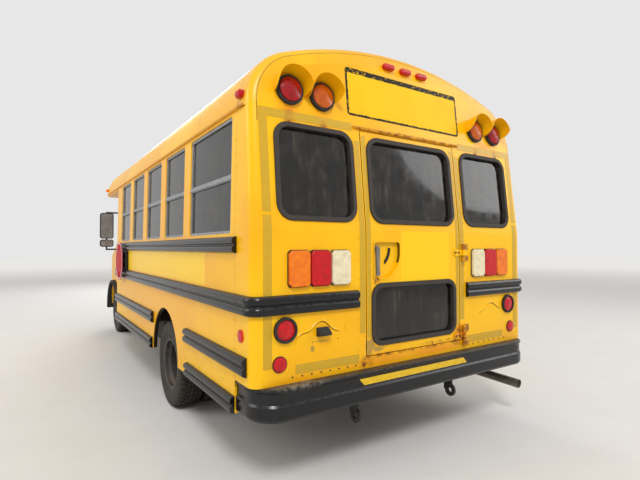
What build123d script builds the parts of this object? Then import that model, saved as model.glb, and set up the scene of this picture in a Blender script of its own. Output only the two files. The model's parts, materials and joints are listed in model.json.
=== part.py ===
from build123d import *
import math
import os

os.makedirs("parts", exist_ok=True)

# Short school bus on a van chassis, millimetres, +Z up, wheels standing on the floor.
# The nose points to -Y and the driver's side is +X.

# Driving dimensions of the body
body_width = 2438.0
overall_length = 6720.0
body_length = 4260.0
wheelbase = 4013.0
rear_overhang = 1926.0
bumper_reach = 70.0
bulkhead_depth = 136.0
cap_reach = 900.0
corner_panel = 270.0
crown_z = 2732.0
head_z = 2172.0
belt_z = 1500.0
sill_z = 1477.0
floor_z = 740.0
skirt_z = 450.0
wall = 40.0
side_lean = 0.02
rear_lean = 0.0986
shoulder_r = 380.0
crown_turn = 21.0
corner_r = 60.0
cap_corner_r = 90.0

# Driving dimensions of the cab
cab_half_w = 1005.0
cab_top_half_w = 880.0
cab_belt_z = 1330.0
cab_foot_z = 430.0
cowl_z = 1395.0
hood_lip_z = 1190.0
grille_top_z = 1080.0
chin_z = 640.0
nose_reach = 90.0
nose_half_w = 900.0

# Driving dimensions of the wheels
tyre_r = 371.5
tyre_w = 223.0
dual_pitch = 250.0
rear_face_x = 1169.0
front_face_x = 985.0
king_x = 760.0

# Clearances: round a panel, beside a moving leaf, in a hinge, and under a seated piece
panel_gap = 6.0
moving_gap = 8.0
hinge_gap = 0.4
seat_gap = 0.3

# Worked-out places
half_w = body_width / 2
tail_y = overall_length / 2
nose_y = -overall_length / 2
rear_wall_y = tail_y - bumper_reach
rear_axle_y = tail_y - rear_overhang
front_axle_y = rear_axle_y - wheelbase
body_front_y = rear_wall_y - body_length
cab_back_y = body_front_y - bulkhead_depth
cap_front_y = cab_back_y - cap_reach
corner_seam_y = rear_wall_y - corner_panel
cab_front_y = nose_y + nose_reach
axle_z = tyre_r
front_wheel_x = front_face_x - tyre_w / 2
rear_outer_x = rear_face_x - tyre_w / 2
rear_inner_x = rear_outer_x - dual_pitch
far = overall_length


def side_x(z):
    """Half width of the outer skin at height z, below the shoulder."""
    return half_w - side_lean * max(z - belt_z, 0.0)


def section_points(inset, base_z):
    """Left half of the body section: base, belt, arc start, arc middle, arc end and crown."""
    w = half_w - inset
    r = shoulder_r - inset
    top = crown_z - inset
    start_turn = math.pi / 2 + math.atan(side_lean)
    end_turn = math.pi - math.radians(crown_turn)
    run = math.sin(start_turn) - math.sin(end_turn)
    rise = math.cos(start_turn) - math.cos(end_turn)
    slope = math.tan(math.radians(crown_turn) / 2)
    zs = (top - r * rise - slope * (w + side_lean * belt_z - r * run)) / (1 - slope * side_lean)
    xs = w - side_lean * (zs - belt_z)
    mid_turn = (start_turn + end_turn) / 2
    mid_x = xs - r * (math.sin(start_turn) - math.sin(mid_turn))
    mid_z = zs + r * (math.cos(start_turn) - math.cos(mid_turn))
    return (w, base_z), (w, belt_z), (xs, zs), (mid_x, mid_z), (xs - r * run, zs + r * rise), (0.0, top)


def section_sketch(inset, base_z, y):
    """Closed sketch of the whole body section, standing across the body at y."""
    foot, _, start, mid, end, top = section_points(inset, base_z)
    radius = end[0] / math.sin(math.radians(crown_turn))
    half_turn = math.radians(crown_turn) / 2
    high = (radius * math.sin(half_turn), top[1] - radius * (1 - math.cos(half_turn)))
    with BuildSketch(Plane.XZ.offset(-y)) as section:
        with BuildLine():
            Polyline((0, foot[1]), foot, start)
            ThreePointArc(start, mid, end)
            ThreePointArc(end, high, top)
            mirror(about=Plane.YZ)
        make_face()
    return section.sketch


shoulder_z = section_points(0, skirt_z)[2][1]

# Planes on the skin: the left flank and the upper rear wall lean inwards above the belt
flank_turn = math.atan(side_lean)
rear_turn = math.atan(rear_lean)
flank_out = (math.cos(flank_turn), 0, math.sin(flank_turn))
slope_out = (0, math.cos(rear_turn), math.sin(rear_turn))
flank = Plane(origin=(half_w, 0, belt_z), x_dir=(0, 1, 0), z_dir=flank_out)
left_side = Plane(origin=(half_w, 0, 0), x_dir=(0, 1, 0), z_dir=(1, 0, 0))
rear_slope = Plane(origin=(0, rear_wall_y, belt_z), x_dir=(-1, 0, 0), z_dir=slope_out)
rear_flat = Plane(origin=(0, rear_wall_y, 0), x_dir=(-1, 0, 0), z_dir=(0, 1, 0))
cap_face = Plane(origin=(0, cap_front_y, 0), x_dir=(1, 0, 0), z_dir=(0, -1, 0))
nose_face = Plane(origin=(0, cab_front_y, 0), x_dir=(1, 0, 0), z_dir=(0, -1, 0))


def body_block(inset, base_z, front_y):
    """Solid block with the body's section, a leaning rear and rounded end edges."""
    y0 = rear_wall_y - inset
    top_y = y0 - rear_lean * (crown_z - belt_z)
    with BuildPart() as block:
        extrude(section_sketch(inset, belt_z, y0), amount=y0 - front_y, dir=(0, -1, 0))
        with BuildSketch(Plane.YZ):
            with BuildLine():
                Polyline((y0, belt_z), (top_y, crown_z), (y0 + wall, crown_z), (y0 + wall, belt_z),
                         close=True)
            make_face()
        extrude(amount=body_width, both=True, mode=Mode.SUBTRACT)
        for end, radius in ((-1, corner_r), (0, cap_corner_r)):
            end_face = block.faces().sort_by(Axis.Y)[end]
            outline = [e for e in end_face.edges() if e.center().Z > belt_z + 5]
            fillet(outline, radius - inset / 2)
        footprint = block.faces().filter_by(lambda f: f.normal_at().Z < -0.99).sort_by(Axis.Z)[0]
        extrude(footprint, amount=belt_z - base_z)
    return block.part


def block_between(x0, x1, y0, y1, z0, z1):
    """Plain block from one corner to the other, for cutting, keeping and short bars."""
    with BuildPart() as region:
        with Locations(((x0 + x1) / 2, (y0 + y1) / 2, (z0 + z1) / 2)):
            Box(abs(x1 - x0), abs(y1 - y0), abs(z1 - z0))
    return region.part


def local_planes(plane, x, z):
    """Middle point on a panel, with the planes that hold its radial and its upright section."""
    middle = plane.origin + plane.x_dir * x + plane.y_dir * z
    radial = Plane(origin=middle, x_dir=plane.x_dir, z_dir=-plane.y_dir)
    upright = Plane(origin=middle, x_dir=plane.z_dir, z_dir=-plane.x_dir)
    return middle, radial, upright


def disc(plane, x, z, radius, thick):
    """Round plate standing on a plane."""
    with BuildPart() as plate:
        with BuildSketch(plane):
            with Locations((x, z)):
                Circle(radius)
        extrude(amount=thick)
    return plate.part


def dome(plane, x, z, radius, foot, edge, rise):
    """Round lens: a straight rim up to edge and a spherical face up to rise."""
    middle, radial, _ = local_planes(plane, x, z)
    height = rise - edge
    ball_r = (radius ** 2 + height ** 2) / (2 * height)
    half_way = edge + math.sqrt(ball_r ** 2 - radius ** 2 / 4) - (ball_r - height)
    with BuildPart() as lens:
        with BuildSketch(radial):
            with BuildLine():
                Polyline((0, rise), (0, foot), (radius, foot), (radius, edge))
                ThreePointArc((radius, edge), (radius / 2, half_way), (0, rise))
            make_face()
        revolve(axis=Axis(middle, plane.z_dir))
    return lens.part


def ring(plane, x, z, inner_r, outer_r, foot, rise):
    """Round bezel with a half-round section."""
    middle, radial, _ = local_planes(plane, x, z)
    with BuildPart() as bezel:
        with BuildSketch(radial):
            with BuildLine():
                shoulder = rise - (outer_r - inner_r) / 2
                Polyline((inner_r, shoulder), (inner_r, foot), (outer_r, foot), (outer_r, shoulder))
                ThreePointArc((outer_r, shoulder), ((inner_r + outer_r) / 2, rise), (inner_r, shoulder))
            make_face()
        revolve(axis=Axis(middle, plane.z_dir))
    return bezel.part


def cut_corner_block(plane, x, z, width, height, corner, foot, rise):
    """Plate with cut corners and a bevelled face, as of a lamp lens."""
    with BuildPart() as plate:
        with BuildSketch(plane.offset(foot)) as outline:
            with Locations((x, z)):
                Rectangle(width, height)
            chamfer(outline.vertices(), corner)
        extrude(amount=rise - foot)
        face = plate.faces().sort_by(Axis(plane.origin, plane.z_dir))[-1]
        chamfer(face.edges(), (rise - foot) / 4)
    return plate.part


def pane(plane, middle_x, low, high, width, radius, thick):
    """Rounded sheet going inwards from a plane."""
    with BuildPart() as sheet:
        with BuildSketch(plane):
            with Locations((middle_x, (low + high) / 2)):
                RectangleRounded(width, high - low, radius)
        extrude(amount=-thick)
    return sheet.part


glazing_depth = 34.0


def frame_ring(plane, middle_x, low, high, width, radius, lip, rise):
    """Rounded rubber frame: a soft-edged lip outside the opening and a wall inside it."""
    with BuildPart() as frame:
        with BuildSketch(plane):
            with Locations((middle_x, (low + high) / 2)):
                RectangleRounded(width + 2 * lip, high - low + 2 * lip, radius + lip)
                RectangleRounded(width - 2 * lip, high - low - 2 * lip, radius - lip, mode=Mode.SUBTRACT)
        extrude(amount=rise)
        face = frame.faces().sort_by(Axis(plane.origin, plane.z_dir))[-1]
        fillet(face.edges(), rise / 2)
        with BuildSketch(plane):
            with Locations((middle_x, (low + high) / 2)):
                RectangleRounded(width - 2 * seat_gap, high - low - 2 * seat_gap, radius)
                RectangleRounded(width - 2 * lip, high - low - 2 * lip, radius - lip, mode=Mode.SUBTRACT)
        extrude(amount=-glazing_depth)
    return frame.part


def hinge(axis_x, axis_y, radius, low, high, plate, moving):
    """Barrels of one upright hinge, with a plate that reaches to its panel.

    The moving leaf has the middle third and the fixed leaf the two outer thirds.
    """
    third = (high - low) / 3
    spans = [(low, low + third), (high - third, high)]
    if moving:
        spans = [(low + third + hinge_gap, high - third - hinge_gap)]
    with BuildPart() as barrels:
        for z0, z1 in spans:
            with BuildSketch(Plane.XY.offset(z0)):
                with Locations((axis_x, axis_y)):
                    Circle(radius)
            extrude(amount=z1 - z0)
            add(block_between(*plate, z0, z1))
    return barrels.part


def save(piece, name):
    """Label a finished piece and write it as a node."""
    piece.part.label = name
    export_step(piece.part, "parts/" + name + ".step")


# Hollow body shell, from which the panels are parted
body_outer = body_block(0, skirt_z, cap_front_y)
body_inner = body_block(wall, skirt_z - wall, cap_front_y + wall)
with BuildPart() as body_shell:
    add(body_outer)
    add(body_inner, mode=Mode.SUBTRACT)

# Side windows
window_pitch = 715.0
window_w = 560.0
rear_window_w = 796.0
rear_window_back = 700.0
first_window_back = 1528.0
window_count = 4
window_corner_r = 28.0
window_h = head_z - sill_z
window_mid_z = (head_z + sill_z) / 2
# centre y, width
side_windows = [(rear_wall_y - rear_window_back, rear_window_w)]
side_windows += [(rear_wall_y - first_window_back - n * window_pitch,
                  window_w) for n in range(window_count)]

# Rear wheel arch, its middle a little behind the axle
arch_r = 414.0
arch_back = 56.0
arch_rise = 86.5
arch_y = rear_axle_y + arch_back
arch_z = axle_z + arch_rise

# Entrance on the right, with two leaves
entry_w = 720.0
entry_foot_z = 420.0
entry_head_z = 2110.0
entry_rear_y = cab_back_y
entry_front_y = entry_rear_y - entry_w
entry_axis_x = -half_w - 7.0
entry_barrel_r = 7.0
entry_reach = 26.0
leaf_x = -half_w + 12.0
# low z, high z
entry_hinges = [(560.0, 680.0), (1190.0, 1310.0), (1820.0, 1940.0)]

# Cab form: where the windscreen, cowl, hood and nose lie
shield_top_y = cap_front_y - 20.0
cowl_y = front_axle_y - 86.0
hood_lip_y = cab_front_y + 115.0
nose_taper_y = front_axle_y - 346.0
chin_y = cab_front_y - 20.0
chin_foot_y = cab_front_y + 60.0
cab_roof_z = head_z - 2.0
belt_round_r = 150.0
nose_corner_r = 150.0
nose_side_r = 400.0
shoulder_round_r = 50.0
front_arch_r = 430.0
front_arch_z = axle_z + 15.0
arch_in_x = 520.0


def cab_block(inset):
    """Cab form: its side profile, front section and plan crossed with one another."""
    with BuildPart() as form:
        with BuildSketch(Plane.YZ):
            with BuildLine():
                Polyline((body_front_y, cab_foot_z), (body_front_y, cab_roof_z), (shield_top_y, cab_roof_z),
                         (cowl_y, cowl_z), (hood_lip_y, hood_lip_z), (cab_front_y, grille_top_z),
                         (chin_y, chin_z), (chin_foot_y, cab_foot_z), close=True)
            make_face()
            if inset:
                offset(amount=-inset, kind=Kind.INTERSECTION, mode=Mode.REPLACE)
        extrude(amount=body_width, both=True)
        with BuildSketch(Plane.XZ.offset(-body_front_y)) as section:
            wide = cab_half_w - inset
            high = cab_top_half_w - inset
            with BuildLine():
                Polyline((-wide, 0), (-wide, cab_belt_z), (-high, head_z), (high, head_z), (wide,
                                                                                            cab_belt_z),
                         (wide, 0), close=True)
            make_face()
            fillet([v for v in section.vertices() if abs(v.Y - cab_belt_z) < 1], belt_round_r)
        extrude(amount=far, mode=Mode.INTERSECT)
        with BuildSketch(Plane.XY) as plan:
            narrow = nose_half_w - inset
            front = chin_y + inset
            with BuildLine():
                Polyline((-wide, body_front_y), (-wide, nose_taper_y), (-narrow, front), (narrow, front),
                         (wide, nose_taper_y), (wide, body_front_y), close=True)
            make_face()
            fillet([v for v in plan.vertices() if v.Y < front + 1], nose_corner_r)
            fillet([v for v in plan.vertices() if abs(v.Y - nose_taper_y) < 1], nose_side_r)
        extrude(amount=far, mode=Mode.INTERSECT)
        if not inset:
            rounded = []
            for edge in form.edges():
                middle, size = edge.center(), edge.bounding_box().size
                along = size.X < 130 and 20 < size.Y < 1500 and abs(middle.X) > 700
                across = size.X > 1500 and middle.Z < hood_lip_z + 1 and middle.Y < nose_taper_y
                if middle.Z > grille_top_z - 1 and middle.Y < shield_top_y + 40 and (along or across):
                    rounded.append(edge)
            fillet(rounded, shoulder_round_r)
    return form.part


def side_openings():
    """Cutters for the window row and the wheel arch, on the left side."""
    with BuildPart() as cutters:
        with BuildSketch(flank.offset(wall)):
            for y, w in side_windows:
                with Locations((y, window_mid_z - belt_z)):
                    RectangleRounded(w, window_h, window_corner_r)
        extrude(amount=-4 * wall)
        with BuildSketch(Plane.YZ.offset(half_w + wall)):
            with Locations((arch_y, arch_z)):
                Circle(arch_r)
            with Locations((arch_y, arch_z - arch_r / 2)):
                Rectangle(2 * arch_r, arch_r)
        extrude(amount=-4 * wall)
    return cutters.part


def front_arches(radius):
    """Pair of upright discs that open both front wheel arches."""
    with BuildPart() as discs:
        for side in (-1, 1):
            with BuildSketch(Plane.YZ.offset(side * arch_in_x)):
                with Locations((front_axle_y, front_arch_z)):
                    Circle(radius)
            extrude(amount=side * half_w / 2)
    return discs.part


cab_outer = cab_block(0)
cab_inner = cab_block(wall)
left_openings = side_openings()

with BuildPart() as side_wall_left:
    add(body_shell.part)
    add(block_between(half_w - 4 * wall, far, body_front_y, corner_seam_y, skirt_z, shoulder_z),
        mode=Mode.INTERSECT)
    add(left_openings, mode=Mode.SUBTRACT)
    # front bulkhead that closes the step between the cab and the wider body
    add(block_between(cab_top_half_w - wall, half_w - wall, body_front_y, body_front_y + wall, skirt_z,
                      shoulder_z))
save(side_wall_left, "side_wall_left")

with BuildPart() as side_wall_right:
    add(body_shell.part)
    add(block_between(-far, 4 * wall - half_w, body_front_y, corner_seam_y, skirt_z, shoulder_z),
        mode=Mode.INTERSECT)
    mirror(left_openings, about=Plane.YZ, mode=Mode.SUBTRACT)
save(side_wall_right, "side_wall_right")

# Entrance surround, standing out from the cab on the right
with BuildPart() as entry_surround:
    add(body_shell.part)
    add(block_between(-far, -cab_top_half_w, cap_front_y, body_front_y, entry_foot_z, head_z),
        mode=Mode.INTERSECT)
    add(cab_outer, mode=Mode.SUBTRACT)
    add(block_between(-half_w - wall, -half_w + 2 * wall, entry_front_y, entry_rear_y, 0, entry_head_z),
        mode=Mode.SUBTRACT)
    for edge_y, way in ((entry_front_y, -1), (entry_rear_y, 1)):
        for low, high in entry_hinges:
            plate = (entry_axis_x + 3, leaf_x + 4, edge_y, edge_y + way * entry_reach)
            add(hinge(entry_axis_x, edge_y, entry_barrel_r, low, high, plate, False))
save(entry_surround, "entry_surround")

# Emergency door and rear windows, heights above the floor
exit_half_w = 440.0
exit_foot_z = 715.0
exit_head_z = 2140.0
rear_panel_inset = 105.0
rear_pane_low = 1561.0
rear_pane_high = 2104.0
rear_pane_in = 520.0
rear_pane_out = 1052.0
rear_pane_r = 85.0
rear_pane_w = rear_pane_out - rear_pane_in
rear_pane_x = (rear_pane_in + rear_pane_out) / 2
rear_cut_z = 640.0
bumper_wrap = 235.0
plate_x = 750.0
plate_z = 850.0
plate_pitch = 177.8
plate_hole_r = 3.5

with BuildPart() as rear_prism:
    extrude(section_sketch(rear_panel_inset, skirt_z, rear_wall_y + wall), amount=6 * wall, dir=(0, -1, 0))

with BuildPart() as rear_region:
    add(block_between(-far, far, corner_seam_y, far, skirt_z, shoulder_z))
    add(rear_prism.part)

with BuildPart() as rear_wall:
    add(body_shell.part)
    add(rear_region.part, mode=Mode.INTERSECT)
    add(block_between(-exit_half_w - panel_gap, exit_half_w + panel_gap, rear_wall_y - 5 * wall, far,
                      exit_foot_z - panel_gap, exit_head_z + panel_gap), mode=Mode.SUBTRACT)
    for side in (-1, 1):
        add(pane(rear_slope.offset(wall), side * rear_pane_x, rear_pane_low - belt_z,
                 rear_pane_high - belt_z,
                 rear_pane_w, rear_pane_r, 4 * wall), mode=Mode.SUBTRACT)
    add(block_between(-far, far, rear_wall_y - bumper_wrap, far, 0, rear_cut_z), mode=Mode.SUBTRACT)
    for x in (-plate_x - plate_pitch / 2, -plate_x + plate_pitch / 2):
        add(disc(rear_flat.offset(-2 * wall), x, plate_z, plate_hole_r, 3 * wall), mode=Mode.SUBTRACT)
save(rear_wall, "rear_wall")

ceiling_t = 12.0
with BuildPart() as roof_shell:
    add(body_shell.part)
    add(block_between(-far, far, -far, far, head_z, far), mode=Mode.INTERSECT)
    add(block_between(-far, far, body_front_y, far, 0, shoulder_z), mode=Mode.SUBTRACT)
    add(rear_prism.part, mode=Mode.SUBTRACT)
    add(block_between(wall - half_w, half_w - wall, cap_front_y + wall, body_front_y, head_z,
                      head_z + ceiling_t))
save(roof_shell, "roof_shell")

# Floor with boxes over the rear wheels, and the entry steps
floor_t = 50.0
plate_t = 6.0
wheel_box_in = 620.0
wheel_box_half = 430.0
wheel_box_z = 905.0
step_in_x = -560.0
low_step_z = 420.0
high_step_z = 580.0
box_front_y = arch_y - wheel_box_half
box_rear_y = arch_y + wheel_box_half

with BuildPart() as floor_pan:
    add(block_between(wall - half_w, half_w - wall, cab_back_y, rear_wall_y - wall, floor_z - floor_t,
                      floor_z))
    for side in (-1, 1):
        add(block_between(side * wheel_box_in, side * (half_w - wall), box_front_y, box_rear_y,
                          floor_z - floor_t, wheel_box_z))
        add(block_between(side * (wheel_box_in + plate_t), side * (half_w - wall), box_front_y + plate_t,
                          box_rear_y - plate_t, 0, wheel_box_z - plate_t), mode=Mode.SUBTRACT)
    add(rear_wall.part, mode=Mode.SUBTRACT)
    add(side_wall_left.part, mode=Mode.SUBTRACT)
    for side in (-1, 1):
        add(block_between(side * (cab_half_w - wall), side * half_w, cab_back_y - 1, body_front_y, 0,
                          floor_z + 1), mode=Mode.SUBTRACT)
save(floor_pan, "floor_pan")

with BuildPart() as entry_steps:
    tread = (half_w - wall + step_in_x) / 2
    step_t = 4 * plate_t
    riser_x = step_in_x - tread
    # inner x, outer x, low z, high z
    for x0, x1, z0, z1 in ((wall - half_w, riser_x, low_step_z - step_t, low_step_z),
                           (riser_x - step_t, riser_x, low_step_z - step_t, high_step_z),
                           (riser_x - step_t, step_in_x, high_step_z - step_t, high_step_z),
                           (step_in_x - step_t, step_in_x, high_step_z - step_t, floor_z)):
        add(block_between(x0, x1, entry_front_y, entry_rear_y, z0, z1))
save(entry_steps, "entry_steps")

# Rub rails: rolled channels with two broad ribs, on the flanks and round the rear corners
rail_reach = 30.0
rail_flat = 24.0
groove_half = 7.0
groove_depth = 9.0
rail_front_y = body_front_y + 15.0
belt_rail_low = 1021.0
belt_rail_high = 1131.0
belt_rail_end_x = 513.0
# low z, high z, front y, rear y
straight_rails = [
    (1362.0, 1458.0, rail_front_y + 120.0, rear_wall_y - 210.0),
    (690.0, 796.0, rail_front_y, rear_wall_y - 2190.0),
    (690.0, 796.0, rear_wall_y - 1165.0, rear_wall_y - 70.0),
    (447.0, 547.0, rail_front_y, rear_wall_y - 2227.0),
    (447.0, 547.0, rear_wall_y - 1143.0, rear_wall_y - 236.0),
]


def rail_section(low, high, y):
    """Section of one rail standing on the left flank, looking along it."""
    middle = (low + high) / 2
    foot = half_w - 1
    crest = half_w + rail_reach
    with BuildSketch(Plane.XZ.offset(-y)) as section:
        with BuildLine():
            Polyline((foot, low), (half_w + 4, low), (crest - 8, low + 6))
            for way in (-1, 1):
                rib_low = low + 6 if way < 0 else middle + groove_half
                rib_high = middle - groove_half if way < 0 else high - 6
                ThreePointArc((crest - 8, rib_low), (crest, (rib_low + rib_high) / 2), (crest - 8,
                                                                                        rib_high))
            Polyline((crest - 8, middle - groove_half), (half_w + rail_flat - groove_depth, middle - 3),
                     (half_w + rail_flat - groove_depth, middle + 3), (crest - 8, middle + groove_half))
            Polyline((crest - 8, high - 6), (half_w + 4, high), (foot, high), (foot, low))
        make_face()
    return section.sketch


with BuildPart() as rub_rails:
    for low, high, y0, y1 in straight_rails:
        extrude(rail_section(low, high, y1), amount=y1 - y0, dir=(0, -1, 0))
    with BuildLine() as rail_path:
        Line((half_w, rail_front_y), (half_w, rear_wall_y - corner_r))
        RadiusArc((half_w, rear_wall_y - corner_r), (half_w - corner_r, rear_wall_y), -corner_r)
        Line((half_w - corner_r, rear_wall_y), (belt_rail_end_x, rear_wall_y))
    sweep(rail_section(belt_rail_low, belt_rail_high, rail_front_y), path=rail_path.wires()[0],
          transition=Transition.RIGHT)
    add(body_outer, mode=Mode.SUBTRACT)
    mirror(about=Plane.YZ)
save(rub_rails, "rub_rails")

# Drip rails over the side windows and over the emergency door
drip_rail_z = head_z + 14.0
drip_front_y = cap_front_y + cap_corner_r + 20.0
drip_rear_y = rear_wall_y - 130.0
drip_reach = 16.0
door_drip_low = 2150.0
door_drip_high = 2174.0
door_drip_half = 500.0

with BuildPart() as drip_rails:
    foot = side_x(drip_rail_z) - 4
    with BuildSketch(Plane.XZ.offset(-drip_rear_y)):
        with BuildLine():
            Polyline((foot, drip_rail_z), (foot + drip_reach, drip_rail_z + 4), (foot + drip_reach + 4,
                                                                                 drip_rail_z + 14),
                     (foot + drip_reach, drip_rail_z + 15), (foot + drip_reach - 3, drip_rail_z + 8),
                     (foot + 4, drip_rail_z + 8), (foot, drip_rail_z + 22), close=True)
        make_face()
    extrude(amount=drip_rear_y - drip_front_y)
    add(body_outer, mode=Mode.SUBTRACT)
    mirror(about=Plane.YZ)
    with BuildSketch(Plane.YZ.offset(-door_drip_half)):
        drip_y = rear_wall_y - rear_lean * (door_drip_low - belt_z) - 2
        with BuildLine():
            Polyline((drip_y, door_drip_low), (drip_y + drip_reach, door_drip_low + 2),
                     (drip_y + drip_reach + 2, door_drip_low + 12), (drip_y + drip_reach - 2,
                                                                     door_drip_low + 12),
                     (drip_y + drip_reach - 4, door_drip_low + 7), (drip_y + 5, door_drip_low + 7),
                     (drip_y - 3, door_drip_high), (drip_y - 6, door_drip_high), close=True)
        make_face()
    extrude(amount=2 * door_drip_half)
    add(body_outer, mode=Mode.SUBTRACT)
save(drip_rails, "drip_rails")

# Side sashes and panes, drawn on the leaning flank
sash_w = 26.0
sash_t = 24.0
sash_set_in = 8.0
glass_t = 5.0
sash_bar_z = 1812.0
# low z, high z of the two lights of a window
window_lights = [(sill_z, sash_bar_z), (sash_bar_z, head_z)]


def light_panes(plane, thick):
    """The clear openings of all side lights, as a solid going inwards from a plane."""
    with BuildPart() as lights:
        for y, w in side_windows:
            for low, high in window_lights:
                add(pane(plane, y, low + 0.7 * sash_w - belt_z, high - 0.7 * sash_w - belt_z,
                         w - 2 * sash_w, 6, thick))
    return lights.part


with BuildPart() as window_sashes:
    for y, w in side_windows:
        add(pane(flank.offset(-sash_set_in), y, sill_z - belt_z, head_z - belt_z, w, window_corner_r,
                 sash_t))
        # the upper light stands a little inside the lower one, behind a lipped meeting rail
        add(pane(flank.offset(-sash_set_in + 6), y, sash_bar_z - 12 - belt_z, sash_bar_z + 12 - belt_z,
                 w - 2, 4, 8))
    add(light_panes(flank.offset(sash_t), 3 * sash_t), mode=Mode.SUBTRACT)
    mirror(about=Plane.YZ)
save(window_sashes, "window_sashes")

gasket_lip = 16.0
pane_lap = gasket_lip
with BuildPart() as window_glass:
    add(light_panes(flank.offset(-sash_set_in - sash_t / 2), glass_t))
    mirror(about=Plane.YZ)
    for side in (-1, 1):
        add(pane(rear_slope.offset(-wall / 2), side * rear_pane_x, rear_pane_low + pane_lap - belt_z,
                 rear_pane_high - pane_lap - belt_z, rear_pane_w - 2 * pane_lap, rear_pane_r - pane_lap,
                 glass_t))
save(window_glass, "window_glass")

gasket_rise = 10.0
with BuildPart() as window_gaskets:
    for side in (-1, 1):
        add(frame_ring(rear_slope, side * rear_pane_x, rear_pane_low - belt_z, rear_pane_high - belt_z,
                       rear_pane_w, rear_pane_r, gasket_lip, gasket_rise))
save(window_gaskets, "window_gaskets")

# Emergency door in the rear wall, with two panes, strap hinges and a sunk lever
door_pane_half = 384.0
low_pane_low = 782.0
low_pane_high = 1149.0
low_pane_r = 70.0
high_pane_low = 1560.0
high_pane_high = 2098.0
exit_axis_x = -475.0
exit_axis_y = rear_wall_y + 16.0
exit_barrel_r = 12.0
strap_t = 7.0
# low z, high z of the barrels
exit_hinges = [(1290.0, 1416.0), (670.0, 820.0)]
# plane, z under the plane's origin, low z, high z, corner radius
exit_panes = [(rear_flat, 0.0, low_pane_low, low_pane_high, low_pane_r),
              (rear_slope, belt_z, high_pane_low, high_pane_high, rear_pane_r)]
pocket_x = -267.5
pocket_low = 1195.0
pocket_high = 1426.0
pocket_half = 110.5
pocket_depth = 20.0
lever_pivot_x = -355.0
lever_pivot_z = 1385.0


def pocket_sketch(grow):
    """Outline of the handle pocket: straight on the lever's side and a quarter round on the other."""
    left = pocket_x - pocket_half - grow
    right = pocket_x + pocket_half + grow
    low = pocket_low - grow
    high = pocket_high + grow
    with BuildSketch(rear_flat) as outline:
        with BuildLine():
            Polyline((right, high), (left, high), (left, low), (left + 110, low))
            ThreePointArc((left + 110, low), (right - 30, low + 65), (right, high - 80))
            Line((right, high - 80), (right, high))
        make_face()
        fillet([v for v in outline.vertices() if v.Y > high - 1 or v.X < left + 1], 22)
    return outline.sketch


with BuildPart() as emergency_door:
    add(body_shell.part)
    add(block_between(-exit_half_w, exit_half_w, rear_wall_y - 6 * wall, far, exit_foot_z, exit_head_z),
        mode=Mode.INTERSECT)
    for plane, base, low, high, radius in exit_panes:
        add(pane(plane.offset(wall), 0, low - base, high - base, 2 * door_pane_half, radius, 4 * wall),
            mode=Mode.SUBTRACT)
    extrude(pocket_sketch(8), amount=5)
    extrude(pocket_sketch(0).moved(Location((0, wall, 0))), amount=-wall - pocket_depth, mode=Mode.SUBTRACT)
    for low, high in exit_hinges:
        third = (high - low) / 3
        # the door's knuckle and its strap, which tapers towards a round end
        with BuildSketch(Plane.XY.offset(low + third + hinge_gap)):
            with Locations((exit_axis_x, exit_axis_y)):
                Circle(exit_barrel_r)
        extrude(amount=third - 2 * hinge_gap)
        middle = (low + high) / 2
        half_strap = third / 2 - hinge_gap
        add(block_between(8 - exit_half_w, exit_axis_x + 90, rear_wall_y - 1, rear_wall_y + hinge_gap + 1,
                          middle - 15, middle + 15))
        with BuildSketch(rear_flat.offset(hinge_gap)):
            with BuildLine():
                Polyline((-exit_axis_x - 4, middle - half_strap), (-exit_axis_x - 60,
                                                                   middle - half_strap - 2))
                ThreePointArc((-exit_axis_x - 60, middle - half_strap - 2), (-exit_axis_x - 98, middle),
                              (-exit_axis_x - 60, middle + half_strap + 2))
                Polyline((-exit_axis_x - 60, middle + half_strap + 2), (-exit_axis_x - 4,
                                                                        middle + half_strap),
                         (-exit_axis_x - 4, middle - half_strap))
            make_face()
        extrude(amount=strap_t)
save(emergency_door, "emergency_door")

with BuildPart() as hinge_straps:
    for low, high in exit_hinges:
        third = (high - low) / 3
        for z in (low, high - third):
            with BuildSketch(Plane.XY.offset(z)):
                with Locations((exit_axis_x, exit_axis_y)):
                    Circle(exit_barrel_r)
            extrude(amount=third)
            add(block_between(exit_axis_x - 62, exit_axis_x + 2, rear_wall_y, rear_wall_y + strap_t, z,
                              z + third))
save(hinge_straps, "hinge_straps")

with BuildPart() as emergency_door_glass:
    for plane, base, low, high, radius in exit_panes:
        add(pane(plane.offset(-wall / 2), 0, low + pane_lap - base, high - pane_lap - base,
                 2 * (door_pane_half - pane_lap), radius - pane_lap, glass_t))
save(emergency_door_glass, "emergency_door_glass")

with BuildPart() as emergency_door_gaskets:
    for plane, base, low, high, radius in exit_panes:
        add(frame_ring(plane, 0, low - base, high - base, 2 * door_pane_half, radius, gasket_lip,
                       gasket_rise))
save(emergency_door_gaskets, "emergency_door_gaskets")

with BuildPart() as door_handle:
    pocket_floor = rear_flat.offset(-pocket_depth)
    add(disc(pocket_floor, lever_pivot_x, lever_pivot_z, 17, pocket_depth + 10))
    with BuildSketch(rear_flat.offset(4)):
        with BuildLine():
            Polyline((lever_pivot_x - 15, lever_pivot_z), (lever_pivot_x - 10, 1250), (lever_pivot_x - 13,
                                                                                       1226))
            ThreePointArc((lever_pivot_x - 13, 1226), (lever_pivot_x + 2, 1212), (lever_pivot_x + 17, 1226))
            Polyline((lever_pivot_x + 17, 1226), (lever_pivot_x + 12, 1250), (lever_pivot_x + 15,
                                                                              lever_pivot_z))
            ThreePointArc((lever_pivot_x + 15, lever_pivot_z), (lever_pivot_x, lever_pivot_z + 15),
                          (lever_pivot_x - 15, lever_pivot_z))
        make_face()
    extrude(amount=12)
save(door_handle, "door_handle")

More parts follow.
